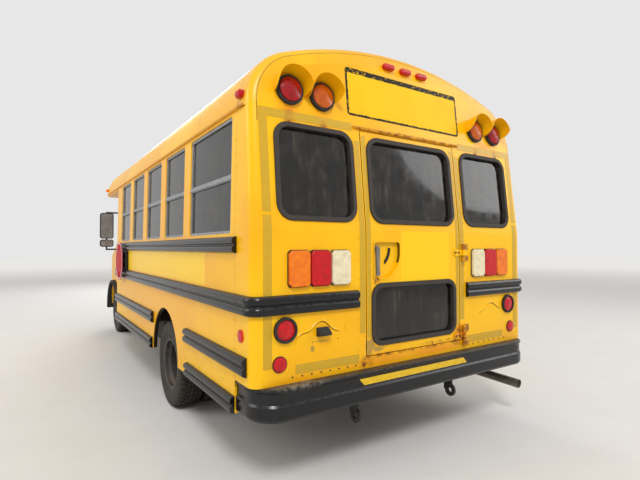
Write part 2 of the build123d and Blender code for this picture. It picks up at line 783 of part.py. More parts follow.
guide_r = 120.0
with BuildPart() as handle_guide:
    with BuildSketch(pocket_floor):
        with Locations((lever_pivot_x, lever_pivot_z)):
            Circle(guide_r + 9)
            Circle(guide_r - 9, mode=Mode.SUBTRACT)
        with Locations((lever_pivot_x - 60, lever_pivot_z)):
            Rectangle(2 * guide_r + 40, 4 * guide_r, mode=Mode.SUBTRACT)
        with Locations((lever_pivot_x, lever_pivot_z + guide_r + 4)):
            Rectangle(4 * guide_r, 2 * guide_r, mode=Mode.SUBTRACT)
    extrude(amount=6)
save(handle_guide, "handle_guide")

# Cab shell, hood and driver's door, parted from the cab form
driver_front_y = front_axle_y + 494.0
driver_rear_y = front_axle_y + 1414.0
driver_foot_z = 520.0
driver_head_z = 2110.0
driver_pane_z = 1705.0
driver_pane_w = 780.0
driver_pane_h = 690.0
driver_axis_x = cab_half_w + 7.0
driver_axis_y = driver_front_y - panel_gap
# low z, high z
driver_hinges = [(720.0, 810.0), (1180.0, 1270.0)]
hood_half_w = 790.0
hood_rear_y = cowl_y - 25.0
hood_front_y = cab_front_y + 80.0
hood_low_z = 1090.0
hood_hinge_r = 6.0
hood_hinge_x = 600.0
grille_half_w = 500.0
grille_low = 740.0
grille_high = 1040.0
lamp_in_x = 560.0
lamp_out_x = 850.0
lamp_low = 790.0
lamp_high = 1000.0
signal_low = 700.0
signal_high = 765.0
lamp_gap = 3.0
bulkhead_y = cowl_y + 360.0
bulkhead_high = 1300.0
shield_half_w = 815.0
engine_bay_y = nose_y + 285.0
hood_turn = math.atan2(cowl_z - hood_lip_z, cowl_y - hood_lip_y)
hood_rear_z = cowl_z - (cowl_y - hood_rear_y) * math.tan(hood_turn)


def hood_hinge(spans, way):
    """Barrels on the hood's rear edge, with plates to the hood (-1) or to the cowl (1)."""
    along = (0, math.cos(hood_turn), math.sin(hood_turn))
    with BuildPart() as barrels:
        for x0, x1 in spans:
            for side in (-1, 1):
                start = (side * hood_hinge_x + x0, hood_rear_y, hood_rear_z)
                with BuildSketch(Plane(origin=start, x_dir=along, z_dir=(1, 0, 0))):
                    with Locations((0, hood_hinge_r + 1)):
                        Circle(hood_hinge_r)
                    with Locations((way * 22, 2)):
                        Rectangle(40, 6)
                extrude(amount=x1 - x0)
    return barrels.part


def shield_opening():
    """Block that cuts the windscreen's opening out of the leaning front of the cab."""
    with BuildPart() as opening:
        with BuildSketch(Plane.YZ):
            with BuildLine():
                Polyline((shield_top_y + 60, head_z - 75), (shield_top_y - 120, head_z - 75),
                         (cowl_y - 80, cowl_z + 35), (cowl_y + 90, cowl_z + 35), close=True)
            make_face()
        extrude(amount=shield_half_w, both=True)
    return opening.part


def driver_pane_cut(reach):
    """Rounded opening of the driver's side window."""
    with BuildPart() as opening:
        with BuildSketch(Plane.YZ.offset(cab_half_w - reach)):
            with Locations(((driver_front_y + driver_rear_y) / 2, driver_pane_z)):
                RectangleRounded(driver_pane_w, driver_pane_h, 60)
        extrude(amount=2 * reach)
    return opening.part


# low z, high z, corner radius
head_lamps = [(lamp_low, lamp_high, 40)]
signals = [(signal_low, signal_high, 16)]


def nose_openings(lamps, grow):
    """Rounded openings for a row of lamps in the nose."""
    with BuildPart() as openings:
        for low, high, radius in lamps:
            with BuildSketch(Plane.XZ.offset(-nose_y)):
                for side in (-1, 1):
                    with Locations((side * (lamp_in_x + lamp_out_x) / 2, (low + high) / 2)):
                        RectangleRounded(lamp_out_x - lamp_in_x + 2 * grow, high - low + 2 * grow, radius)
            extrude(amount=-240)
    return openings.part


with BuildPart() as cab_skin:
    add(cab_outer)
    add(cab_inner, mode=Mode.SUBTRACT)
    add(block_between(wall - cab_half_w, cab_half_w - wall, cab_front_y + 120, body_front_y, 0,
                      cab_foot_z + 2 * wall), mode=Mode.SUBTRACT)
    add(block_between(wall - cab_half_w, cab_half_w - wall, body_front_y - 2 * wall, body_front_y + 1,
                      cab_foot_z, head_z - wall), mode=Mode.SUBTRACT)

with BuildPart() as cab_shell:
    add(cab_skin.part)
    add(shield_opening(), mode=Mode.SUBTRACT)
    add(block_between(cab_top_half_w - wall, half_w, driver_front_y - panel_gap, driver_rear_y + panel_gap,
                      driver_foot_z - panel_gap, driver_head_z + panel_gap), mode=Mode.SUBTRACT)
    add(block_between(-half_w, -cab_top_half_w + 4 * wall, entry_front_y, entry_rear_y, 0, entry_head_z),
        mode=Mode.SUBTRACT)
    add(front_arches(front_arch_r), mode=Mode.SUBTRACT)
    add(block_between(-hood_half_w - panel_gap, hood_half_w + panel_gap, hood_front_y - panel_gap,
                      hood_rear_y + hinge_gap, hood_low_z, far), mode=Mode.SUBTRACT)
    add(block_between(-grille_half_w, grille_half_w, nose_y, cab_front_y + 200, grille_low, grille_high),
        mode=Mode.SUBTRACT)
    add(nose_openings(head_lamps + signals, lamp_gap), mode=Mode.SUBTRACT)
    # bulkhead and floor inside the cab
    add(block_between(wall - cab_half_w, cab_half_w - wall, bulkhead_y - wall, bulkhead_y,
                      floor_z - floor_t,
                      bulkhead_high))
    add(block_between(wall - cab_half_w, cab_half_w - wall, bulkhead_y, cab_back_y, floor_z - floor_t,
                      floor_z))
    add(block_between(-half_w, step_in_x, entry_front_y, entry_rear_y + 1, 0, floor_z + 1),
        mode=Mode.SUBTRACT)
    add(front_arches(front_arch_r), mode=Mode.SUBTRACT)
    add(block_between(-700, 700, nose_y, engine_bay_y, 0, chin_z + 5), mode=Mode.SUBTRACT)
    for low, high in driver_hinges:
        plate = (cab_half_w - 3, cab_half_w + 3, driver_axis_y - entry_reach, driver_axis_y)
        add(hinge(driver_axis_x, driver_axis_y, entry_barrel_r, low, high, plate, False))
    add(hood_hinge([(-45, -15), (15, 45)], 1))
save(cab_shell, "cab_shell")

with BuildPart() as hood:
    add(cab_skin.part)
    add(block_between(-hood_half_w, hood_half_w, hood_front_y, hood_rear_y, hood_low_z, far),
        mode=Mode.INTERSECT)
    add(hood_hinge([(-15 + hinge_gap, 15 - hinge_gap)], -1))
save(hood, "hood")

with BuildPart() as driver_door:
    add(cab_skin.part)
    add(block_between(cab_top_half_w - wall + 6, half_w, driver_front_y, driver_rear_y, driver_foot_z,
                      driver_head_z), mode=Mode.INTERSECT)
    add(front_arches(front_arch_r + panel_gap), mode=Mode.SUBTRACT)
    add(driver_pane_cut(6 * wall), mode=Mode.SUBTRACT)
    for low, high in driver_hinges:
        plate = (cab_half_w, cab_half_w + 3, driver_axis_y + 1, driver_axis_y + entry_reach)
        add(hinge(driver_axis_x, driver_axis_y, entry_barrel_r, low, high, plate, True))
    # pull handle standing off the skin near the rear edge
    with BuildSketch(Plane.YZ.offset(cab_half_w + 18)):
        with Locations((driver_rear_y - 110, 1180)):
            SlotCenterToCenter(110, 22)
    extrude(amount=8)
    for dy in (-55, 55):
        add(block_between(cab_half_w - 4, cab_half_w + 19, driver_rear_y - 118 + dy,
                          driver_rear_y - 102 + dy,
                          1172, 1188))
save(driver_door, "driver_door")

glass_in = 16.0
with BuildPart() as cab_glass:
    add(cab_block(glass_in))
    add(cab_block(glass_in + glass_t), mode=Mode.SUBTRACT)

with BuildPart() as driver_door_glass:
    add(cab_glass.part)
    add(driver_pane_cut(6 * wall), mode=Mode.INTERSECT)
save(driver_door_glass, "driver_door_glass")

with BuildPart() as windscreen:
    add(cab_glass.part)
    add(shield_opening(), mode=Mode.INTERSECT)
save(windscreen, "windscreen")

# Black flares round the front wheels and a step under the driver's door
flare_w = 44.0
flare_reach = 57.0
side_step_low = 400.0
side_step_high = 470.0
side_step_in = cab_half_w
with BuildPart() as fender_flares:
    with BuildSketch(Plane.YZ.offset(cab_half_w - 70)):
        with Locations((front_axle_y, front_arch_z)):
            Circle(front_arch_r + flare_w)
            Circle(front_arch_r + 2, mode=Mode.SUBTRACT)
        with Locations((front_axle_y, front_arch_z - front_arch_r - 60)):
            Rectangle(3 * front_arch_r, 2 * front_arch_r + 60, mode=Mode.SUBTRACT)
    extrude(amount=70 + flare_reach)
    outer_face = fender_flares.faces().sort_by(Axis.X)[-1]
    fillet(outer_face.edges(), 14)
    add(cab_outer, mode=Mode.SUBTRACT)
    step_front_y = front_axle_y + front_arch_r + 60
    with BuildSketch(Plane.XZ.offset(-driver_rear_y - 100)):
        with BuildLine():
            Polyline((side_step_in, side_step_low), (cab_half_w + flare_reach - 12, side_step_low),
                     (cab_half_w + flare_reach, side_step_low + 12), (cab_half_w + flare_reach,
                                                                      side_step_high - 12),
                     (cab_half_w + flare_reach - 12, side_step_high), (side_step_in, side_step_high),
                     close=True)
        make_face()
    extrude(amount=driver_rear_y + 100 - step_front_y)
    mirror(about=Plane.YZ)
    add(block_between(-half_w, 1 - side_step_in, cap_front_y, body_front_y, 0, 600), mode=Mode.SUBTRACT)
save(fender_flares, "fender_flares")

# Entrance leaves
leaf_t = 34.0
leaf_w = entry_w / 2 - moving_gap
leaf_low = entry_foot_z + moving_gap
leaf_high = entry_head_z - moving_gap
leaf_pane_r = 30.0
leaf_stile = 45.0
# low z, high z of the panes
leaf_panes = [(leaf_low + 60, 1180.0), (1250.0, leaf_high - 60)]
# name, outer edge y, direction from the outer edge to the middle
leaves = [("front", entry_front_y + panel_gap, 1), ("rear", entry_rear_y - panel_gap, -1)]

for name, edge_y, way in leaves:
    leaf_mid_y = edge_y + way * leaf_w / 2
    leaf_plane = Plane(origin=(leaf_x, leaf_mid_y, 0), x_dir=(0, 1, 0), z_dir=(1, 0, 0))
    with BuildPart() as entry_leaf:
        add(block_between(leaf_x, leaf_x + leaf_t, edge_y, edge_y + way * leaf_w, leaf_low, leaf_high))
        for low, high in leaf_panes:
            add(pane(leaf_plane.offset(2 * leaf_t), 0, low, high, leaf_w - 2 * leaf_stile, leaf_pane_r,
                     4 * leaf_t),
                mode=Mode.SUBTRACT)
        hinge_y = edge_y - way * panel_gap
        for low, high in entry_hinges:
            plate = (entry_axis_x + 3, leaf_x + 1, hinge_y + way, hinge_y + way * entry_reach)
            add(hinge(entry_axis_x, hinge_y, entry_barrel_r, low, high, plate, True))
    save(entry_leaf, "entry_leaf_" + name)
    with BuildPart() as entry_leaf_glass:
        for low, high in leaf_panes:
            add(pane(leaf_plane.offset(leaf_t / 2 + glass_t), 0, low, high, leaf_w - 2 * leaf_stile,
                     leaf_pane_r,
                     glass_t))
    save(entry_leaf_glass, "entry_leaf_glass_" + name)

# Wheels: tyres and pressed steel rims, turned about the axle
disc_hole_r = 21.0
disc_hole_pitch_r = 152.0
disc_holes = 8
front_disc_in = 40.0
rear_disc_in = -60.0
# distance from the wheel's middle plane, radius: half of the tyre's outline, from the bead to the tread
tyre_outline = [(84.0, 206.0), (89.0, 212.0), (89.0, 230.0), (111.5, 292.0), (97.0, 354.0), (80.0, 371.5)]
# distance from the middle plane, radius: outer side of half of the rim's well
rim_outline = [(96.0, 226.0), (90.0, 226.0), (90.0, 205.0), (60.0, 203.0), (40.0, 186.0)]
rim_inside = [(40.0, 178.0), (62.0, 195.0), (90.0, 198.0)]


def ring_at(x, y):
    """Maps (distance from the middle plane, radius) to the section plane through a wheel at x."""
    return Plane(origin=(x, y, axle_z), x_dir=(1, 0, 0), z_dir=(0, -1, 0))


def tyre_solid(x, y):
    """One tyre with its middle plane at x."""
    bead, seat, low_wall, bulge, shoulder, tread = tyre_outline
    with BuildPart() as tyre:
        with BuildSketch(ring_at(x, y)):
            with BuildLine():
                for side in (-1, 1):
                    Polyline(*[(side * d, r) for d, r in (bead, seat, low_wall)])
                    ThreePointArc(*[(side * d, r) for d, r in (low_wall, bulge, shoulder)])
                    Line((side * shoulder[0], shoulder[1]), (side * tread[0], tread[1]))
                Line((-tread[0], tread[1]), tread)
                Line((-bead[0], bead[1]), bead)
            make_face()
        revolve(axis=Axis((0, y, axle_z), (1, 0, 0)))
    return tyre.part


def rim_solid(x, y, disc_x, hub):
    """Rim with its disc at disc_x from the middle plane, and a hub or a plain spacer."""
    with BuildPart() as rim:
        with BuildSketch(ring_at(x, y)):
            with BuildLine():
                outside = [(-d, r) for d, r in rim_outline] + rim_outline[::-1]
                Polyline(*outside, *rim_inside[::-1], *[(-d, r) for d, r in rim_inside], outside[0])
            make_face()
            with BuildLine():
                Polyline(*[(disc_x + d, r) for d, r in hub], close=True)
            make_face()
        revolve(axis=Axis((0, y, axle_z), (1, 0, 0)))
        with BuildSketch(Plane.YZ.offset(x + disc_x - 60)):
            with Locations((y, axle_z)):
                with PolarLocations(disc_hole_pitch_r, disc_holes):
                    Circle(disc_hole_r)
        extrude(amount=120, mode=Mode.SUBTRACT)
    return rim.part


# distance from the disc's outer face, radius: dished disc with its hub, and the inner rim's spaced disc
outer_hub = [(-30.0, 180.0), (-20.0, 182.0), (6.0, 125.0), (10.0, 62.0), (58.0, 56.0), (72.0, 46.0),
             (72.0, 0.0),
             (0.0, 0.0), (0.0, 58.0), (-4.0, 120.0)]
spacer_reach = dual_pitch + rear_disc_in - 30.0 + 2.0
inner_hub = [(0.0, 182.0), (8.0, 182.0), (8.0, 95.0), (spacer_reach, 95.0), (spacer_reach, 0.0), (0.0, 0.0)]

with BuildPart() as front_tyre:
    add(tyre_solid(front_wheel_x, front_axle_y))
with BuildPart() as front_rim:
    add(rim_solid(front_wheel_x, front_axle_y, front_disc_in, outer_hub))
with BuildPart() as rear_tyres:
    for x in (rear_outer_x, rear_inner_x):
        add(tyre_solid(x, rear_axle_y))
with BuildPart() as rear_rims:
    add(rim_solid(rear_outer_x, rear_axle_y, rear_disc_in, outer_hub))
    add(rim_solid(rear_inner_x, rear_axle_y, 30.0, inner_hub))

# solid, name
wheel_pieces = [(front_tyre, "front_tyre"), (front_rim, "front_rim"), (rear_tyres, "rear_tyres"),
                (rear_rims, "rear_rims")]
for piece, name in wheel_pieces:
    save(piece, name + "_left")
    with BuildPart() as right:
        mirror(piece.part, about=Plane.YZ)
    save(right, name + "_right")

# Steering knuckles
king_r = 32.0
king_half_h = 95.0
flange_r = 55.0
flange_reach = 60.0
spindle_r = 24.0
steer_arm = 150.0
for side, name in ((1, "left"), (-1, "right")):
    with BuildPart() as knuckle:
        with BuildSketch(Plane.XY.offset(axle_z - king_half_h)):
            with Locations((side * king_x, front_axle_y)):
                Circle(king_r)
        extrude(amount=2 * king_half_h)
        for start, radius, reach in ((king_x, flange_r, flange_reach),
                                     (king_x + flange_reach - 5, spindle_r,
                                      front_wheel_x + front_disc_in - king_x - flange_reach + 4)):
            with BuildSketch(Plane.YZ.offset(side * start)):
                with Locations((front_axle_y, axle_z)):
                    Circle(radius)
            extrude(amount=side * reach)
        with BuildSketch(Plane.XY.offset(axle_z - 70)):
            with Locations((side * king_x, front_axle_y + steer_arm / 2)):
                SlotOverall(steer_arm, 34, rotation=90)
        extrude(amount=20)
    save(knuckle, "knuckle_" + name)

# Chassis frame: two channel rails, cross members, body mounts and the tow eyes
rail_x = 430.0
rail_w = 70.0
frame_low = 500.0
frame_high = 640.0
web_t = 8.0
cross_half = 30.0
mount_half_l = 40.0
tow_x = 452.0
tow_y = rear_wall_y - 100.0
tow_z = 320.0
tow_r = 45.0
tow_t = 16.0
tow_hole_r = 18.0
frame_rear_y = rear_wall_y - wall
frame_front_y = nose_y + 60.0
# y of the cross members and of the body mounts
cross_members = [rear_wall_y - 80.0, rear_axle_y + 891.0, rear_axle_y - 509.0, rear_axle_y - 1609.0,
                 rear_axle_y - 2609.0, front_axle_y + 504.0, nose_y + 90.0]
body_mounts = [rear_axle_y + 1491.0, rear_axle_y + 691.0, rear_axle_y - 809.0, rear_axle_y - 1609.0,
               rear_axle_y - 2309.0, rear_axle_y - 3109.0]

with BuildPart() as chassis_frame:
    for side in (-1, 1):
        with BuildSketch(Plane.XZ.offset(-frame_rear_y)):
            with Locations((side * rail_x, (frame_low + frame_high) / 2)):
                Rectangle(rail_w, frame_high - frame_low)
            with Locations((side * (rail_x - web_t), (frame_low + frame_high) / 2)):
                Rectangle(rail_w, frame_high - frame_low - 2 * web_t, mode=Mode.SUBTRACT)
        extrude(amount=frame_rear_y - frame_front_y)
    for y in cross_members:
        add(block_between(web_t - rail_x - rail_w / 2, rail_x + rail_w / 2 - web_t, y - cross_half,
                          y + cross_half,
                          585, frame_high - web_t))
    for y in body_mounts:
        for side in (-1, 1):
            add(block_between(side * rail_x - cross_half, side * rail_x + cross_half, y - mount_half_l,
                              y + mount_half_l, frame_high - 1, floor_z - floor_t))
    for side in (-1, 1):
        with BuildSketch(Plane.YZ.offset(side * tow_x - tow_t / 2)):
            with Locations((tow_y, tow_z)):
                Circle(tow_r)
            with Locations((tow_y - 20, (tow_z + frame_low) / 2)):
                Rectangle(2 * tow_r - 20, frame_low - tow_z + 2)
            with Locations((tow_y, tow_z)):
                Circle(tow_hole_r, mode=Mode.SUBTRACT)
        extrude(amount=tow_t)
save(chassis_frame, "chassis_frame")

# Rear axle with its leaf springs
axle_tube_r = 50.0
axle_half = rear_inner_x - 116.0
spring_x = 510.0
spring_w = 76.0
spring_reach = 640.0
spring_eye_half = 30.0
# distance from the axle, top z and bottom z of the spring pack, from one eye to the other
spring_outline = [(-640.0, 520.0, 505.0), (-300.0, 450.0, 425.0), (0.0, 425.0, 385.0), (300.0, 450.0,
                                                                                        425.0),
                  (640.0, 520.0, 505.0)]

with BuildPart() as rear_suspension:
    with BuildSketch(Plane.YZ.offset(-axle_half)):
        with Locations((rear_axle_y, axle_z)):
            Circle(axle_tube_r)
    extrude(amount=2 * axle_half)
    with BuildSketch(ring_at(0, rear_axle_y)):
        with BuildLine():
            Polyline((-170, 0), (-120, 110), (-60, 160), (60, 160), (120, 110), (170, 0), close=True)
        make_face()
    revolve(axis=Axis((0, rear_axle_y, axle_z), (1, 0, 0)))
    for side in (-1, 1):
        with BuildSketch(Plane.YZ.offset(side * spring_x - spring_w / 2)):
            with BuildLine():
                Polyline(*[(rear_axle_y + dy, top) for dy, top, low in spring_outline],
                         *[(rear_axle_y + dy, low) for dy, top, low in spring_outline[::-1]], close=True)
            make_face()
        extrude(amount=spring_w)
        for dy in (-spring_reach, spring_reach):
            y = rear_axle_y + dy
            add(block_between(side * (rail_x + rail_w / 2 + 1), side * (spring_x + spring_w / 2),
                              y - spring_eye_half,
                              y + spring_eye_half, frame_low, frame_low + 100))
save(rear_suspension, "rear_suspension")

# Front suspension: cross beam, arms round the king pins, and coil spring cans
beam_half = king_x - 46.0
arm_half = 36.0
arm_t = 30.0
can_x = 600.0
can_r = 62.0
can_h = 260.0
with BuildPart() as front_suspension:
    add(block_between(-beam_half, beam_half, front_axle_y - 45, front_axle_y + 45, axle_z - 45,
                      axle_z + 25))
    for side in (-1, 1):
        for z in (axle_z - king_half_h - 35, axle_z + king_half_h + 5):
            add(block_between(side * (king_x - 60), side * (king_x + 38), front_axle_y - arm_half,
                              front_axle_y + arm_half, z, z + arm_t))
        add(block_between(side * (king_x - 75), side * beam_half, front_axle_y - arm_half,
                          front_axle_y + arm_half,
                          axle_z - king_half_h - 35, axle_z + king_half_h + 35))
        with BuildSketch(Plane.XY.offset(axle_z + 20)):
            with Locations((side * can_x, front_axle_y)):
                Circle(can_r)
        extrude(amount=can_h)
        add(block_between(side * 440, side * 665, front_axle_y - 60, front_axle_y + 60, axle_z + 278,
                          axle_z + 300))
save(front_suspension, "front_suspension")

# Engine and gearbox as plain blocks, with the propeller shaft
engine_rear_y = front_axle_y + 184.0
gearbox_rear_y = front_axle_y + 854.0
shaft_z = 500.0
shaft_r = 45.0
with BuildPart() as powertrain:
    add(block_between(-230, 230, front_axle_y - 446, engine_rear_y, 470, 1040))
    add(block_between(-150, 150, engine_rear_y - 1, gearbox_rear_y, 400, 575))
    with BuildSketch(Plane.XZ.offset(-gearbox_rear_y + 1)):
        with Locations((0, shaft_z)):
            Circle(shaft_r)
    extrude(amount=gearbox_rear_y - 1 - rear_axle_y + 150)
save(powertrain, "powertrain")

# Exhaust: silencer, and a pipe over the axle to the right rear corner
silencer_x = -700.0
silencer_z = 430.0
silencer_rear_y = rear_axle_y - 409.0
silencer_l = 700.0
pipe_r = 35.0
pipe_wall = 4.0
# x, y, z of the pipe's corners
pipe_points = [(silencer_x, silencer_rear_y - 10, silencer_z), (-560, rear_axle_y - 259, 600),
               (-560, rear_axle_y + 291, 600), (-700, rear_axle_y + 891, 470), (-1140, rear_wall_y - 365,
                                                                                290),
               (-1165, rear_wall_y + 10, 268)]
with BuildPart() as exhaust:
    with BuildSketch(Plane.XZ.offset(-silencer_rear_y)):
        with Locations((silencer_x, silencer_z)):
            Ellipse(120, 75)
    extrude(amount=silencer_l)
    with BuildLine() as pipe_path:
        Polyline(*pipe_points)
    with BuildSketch(Plane(origin=pipe_points[0], z_dir=Vector(*pipe_points[1]) - Vector(*pipe_points[0]))):
        Circle(pipe_r)
    sweep(path=pipe_path.wires()[0], transition=Transition.ROUND)
    # open mouth of the tail pipe
    with BuildSketch(Plane(origin=pipe_points[-1],
                           z_dir=Vector(*pipe_points[-2]) - Vector(*pipe_points[-1]))):
        Circle(pipe_r - pipe_wall)
    extrude(amount=120, mode=Mode.SUBTRACT)
save(exhaust, "exhaust")

# Fuel tank on the left, hung from the frame rail
tank_x = 720.0
tank_z = 480.0
tank_w = 420.0
tank_h = 340.0
tank_rear_y = rear_axle_y - 809.0
tank_l = 1300.0
with BuildPart() as fuel_tank:
    with BuildSketch(Plane.XZ.offset(-tank_rear_y)):
        with Locations((tank_x, tank_z)):
            RectangleRounded(tank_w, tank_h, 60)
    extrude(amount=tank_l)
    for y in (tank_rear_y - 250, tank_rear_y - 1050):
        add(block_between(rail_x + rail_w / 2, tank_x - tank_w / 2 + 5, y - cross_half, y + cross_half,
                          560, 610))
        with BuildSketch(Plane.XZ.offset(-y - 25)):
            with Locations((tank_x, tank_z)):
                RectangleRounded(tank_w + 8, tank_h + 8, 64)
                RectangleRounded(tank_w - 8, tank_h - 8, 56, mode=Mode.SUBTRACT)
        extrude(amount=50)
save(fuel_tank, "fuel_tank")

# Bumpers: pressed sections swept round the corners
rear_bumper_half = half_w - 5.0
rear_bumper_r = 170.0
front_bumper_half = 995.0
front_bumper_r = 170.0
front_bumper_wrap = 320.0
bumper_bracket_half = 35.0
# reach from the outer face, z: rolled top flange, recessed upper face, swelling lower face, then back inside
rear_bumper_section = [(-bumper_reach, 640.0), (-9.0, 640.0), (0.0, 633.0), (0.0, 622.0), (-8.0, 613.0),
                       (-8.0, 553.0), (0.0, 540.0), (0.0, 474.0), (-9.0, 459.0), (-50.0, 452.0), (-50.0,
                                                                                                  460.0),
                       (-14.0, 466.0), (-8.0, 477.0), (-8.0, 537.0), (-16.0, 550.0), (-16.0, 616.0),
                       (-12.0, 632.0), (-bumper_reach, 632.0)]
front_bumper_section = [(-60.0, 600.0), (-10.0, 600.0), (0.0, 590.0), (0.0, 530.0), (-6.0, 524.0), (-6.0,
                                                                                                    486.0),
                        (0.0, 480.0), (0.0, 420.0), (-10.0, 410.0), (-60.0, 410.0), (-60.0, 418.0),
                        (-14.0, 418.0), (-8.0, 424.0), (-8.0, 478.0), (-14.0, 486.0), (-14.0, 524.0),
                        (-8.0, 532.0), (-8.0, 586.0), (-14.0, 592.0), (-60.0, 592.0)]


def bumper(outer_y, way, half, radius, wrap, section_points):
    """One bumper: its section swept from the middle round one corner, then mirrored."""
    with BuildPart() as bar:
        with BuildLine() as path:
            Line((0, outer_y), (half - radius, outer_y))
            RadiusArc((half - radius, outer_y), (half, outer_y - way * radius), way * radius)
            Line((half, outer_y - way * radius), (half, outer_y - way * wrap))
        with BuildSketch(Plane.YZ):
            with BuildLine():
                Polyline(*[(outer_y + way * d, z) for d, z in section_points], close=True)
            make_face()
        sweep(path=path.wires()[0], transition=Transition.RIGHT)
        mirror(about=Plane.YZ)
    return bar.part


with BuildPart() as bumpers:
    add(bumper(tail_y, 1, rear_bumper_half, rear_bumper_r, bumper_wrap + bumper_reach, rear_bumper_section))
    add(bumper(nose_y, -1, front_bumper_half, front_bumper_r, front_bumper_wrap, front_bumper_section))
    for side in (-1, 1):
        x0 = side * rail_x - bumper_bracket_half
        x1 = side * rail_x + bumper_bracket_half
        add(block_between(x0, x1, frame_rear_y, tail_y - 15, 560, 605))
        add(block_between(x0, x1, nose_y + 7, frame_front_y, 530, 585))
    add(cab_shell.part, mode=Mode.SUBTRACT)
    add(fender_flares.part, mode=Mode.SUBTRACT)
save(bumpers, "bumpers")

# Lamps of the tail and the caps
module_low = 1168.0
module_high = 1380.0
module_in = 574.0
module_out = 1007.0
cell_w = (module_out - module_in) / 3
cell_mid_z = (module_low + module_high) / 2
module_base = 6.0
module_rise = 26.0
cell_cut = 18.0
stop_x = 1022.0
stop_z = 937.0
stop_r = 56.0
reflector_x = 1056.0
reflector_z = 753.0
reflector_r = 40.0
warn_z = 2310.0
warn_red_x = 950.0
warn_amber_x = 725.0
warn_r = 84.0
warn_rim = 12.0
clearance_z = 2630.0
clearance_pitch = 158.0
clearance_w = 92.0
clearance_h = 38.0
clearance_rise = 34.0
marker_y = rear_wall_y - 180.0
cap_marker_y = cap_front_y + 84.0
marker_z = 2264.0
side_reflector_y = rear_wall_y - 146.0
side_reflector_z = 903.0
# plane, z under the plane's origin: where the warning lamps stand
warn_places = [(rear_slope, belt_z), (cap_face, 0.0)]


def cell(side, order, inset, foot, rise):
    """One lens block of a lamp module, counted outwards."""
    x = side * (module_in + (order + 0.5) * cell_w)
    return cut_corner_block(rear_flat, x, cell_mid_z, cell_w - inset, module_high - module_low - inset,
                            cell_cut,
                            foot, rise)


def side_marker(y):
    """Wedge-shaped marker lamp high on both flanks."""
    with BuildPart() as lamps:
        add(cut_corner_block(flank, y, (marker_z - belt_z) / math.cos(flank_turn), 62, 44, 10, -8, 30))
        add(body_outer, mode=Mode.SUBTRACT)
        mirror(about=Plane.YZ)
    return lamps.part


def clearance_lamps(plane, base):
    """Three lamps in a row on the crown."""
    with BuildPart() as lamps:
        for n in (-1, 0, 1):
            add(cut_corner_block(plane, n * clearance_pitch, clearance_z - base, clearance_w, clearance_h,
                                 9, 0,
                                 clearance_rise))
    return lamps.part


with BuildPart() as red_lenses:
    for side in (-1, 1):
        add(cell(side, 1, 8, module_base, module_rise))
        add(dome(rear_flat, side * stop_x, stop_z, stop_r, 4, 12, 24))
        add(dome(rear_flat, side * reflector_x, reflector_z, reflector_r, 3, 8, 14))
        for plane, base in warn_places:
            add(dome(plane, side * warn_red_x, warn_z - base, warn_r - warn_rim, 10, 26, 44))
    add(clearance_lamps(rear_slope, belt_z))
    add(side_marker(marker_y))
    side_reflector = dome(left_side, side_reflector_y, side_reflector_z, reflector_r - 4, 0, 7, 12)
    add(side_reflector)
    mirror(side_reflector, about=Plane.YZ)
save(red_lenses, "red_lenses")

with BuildPart() as amber_lenses:
    for side in (-1, 1):
        add(cell(side, 2, 8, module_base, module_rise))
        for plane, base in warn_places:
            add(dome(plane, side * warn_amber_x, warn_z - base, warn_r - warn_rim, 10, 26, 44))
    add(clearance_lamps(cap_face, 0))
    add(side_marker(cap_marker_y))
    with BuildPart(mode=Mode.PRIVATE) as signal_lenses:
        add(cab_outer)
        add(cab_block(34), mode=Mode.SUBTRACT)
        add(nose_openings(signals, 0), mode=Mode.INTERSECT)
    add(signal_lenses.part)
save(amber_lenses, "amber_lenses")

with BuildPart() as clear_lenses:
    add(cab_outer)
    add(cab_block(34), mode=Mode.SUBTRACT)
    add(nose_openings(head_lamps, 0), mode=Mode.INTERSECT)
    for side in (-1, 1):
        add(cell(side, 0, 8, module_base, module_rise))
save(clear_lenses, "clear_lenses")

with BuildPart() as lamp_bezels:
    for side in (-1, 1):
        for order in range(3):
            add(cell(side, order, 0, 0, module_base))
        add(ring(rear_flat, side * stop_x, stop_z, stop_r + seat_gap, stop_r + 16, 0, 22))
        add(ring(rear_flat, side * reflector_x, reflector_z, reflector_r + seat_gap, reflector_r + 5, 0, 7))
        for plane, base in warn_places:
            for x in (warn_red_x, warn_amber_x):
                add(disc(plane, side * x, warn_z - base, warn_r + 4, 10))
                add(ring(plane, side * x, warn_z - base, warn_r - warn_rim + seat_gap, warn_r + 4, 9, 24))
    # lamp over the number plate
    with BuildSketch(Plane.YZ.offset(737)):
        with BuildLine():
            Polyline((rear_wall_y, 880), (rear_wall_y, 930), (rear_wall_y + 12, 930), (rear_wall_y + 46,
                                                                                       900),
                     (rear_wall_y + 46, 886), (rear_wall_y + 14, 880), close=True)
        make_face()
    extrude(amount=78)
save(lamp_bezels, "lamp_bezels")

# Visors over the warning lamps: flared sheet shells, cut to a curve from root to lip
visor_root_r = 98.0
visor_lip_r = 112.0
visor_l = 105.0
visor_t = 3.0


def visor(plane, x, z):
    """One visor round its lamp."""
    middle, radial, upright = local_planes(plane, x, z)
    with BuildPart() as shell:
        with BuildSketch(radial):
            with BuildLine():
                Polyline((visor_root_r, 0), (visor_lip_r, visor_l), (visor_lip_r + visor_t, visor_l),
                         (visor_root_r + visor_t, 0), close=True)
            make_face()
        revolve(axis=Axis(middle, plane.z_dir))
        with BuildSketch(upright):
            with BuildLine():
                Line((-1, -200), (-1, -20))
                ThreePointArc((-1, -20), (visor_l * 0.62, -6), (visor_l + 1, 34))
                Polyline((visor_l + 1, 34), (visor_l + 1, -200), (-1, -200))
            make_face()
        extrude(amount=2 * visor_lip_r, both=True, mode=Mode.SUBTRACT)
    return shell.part


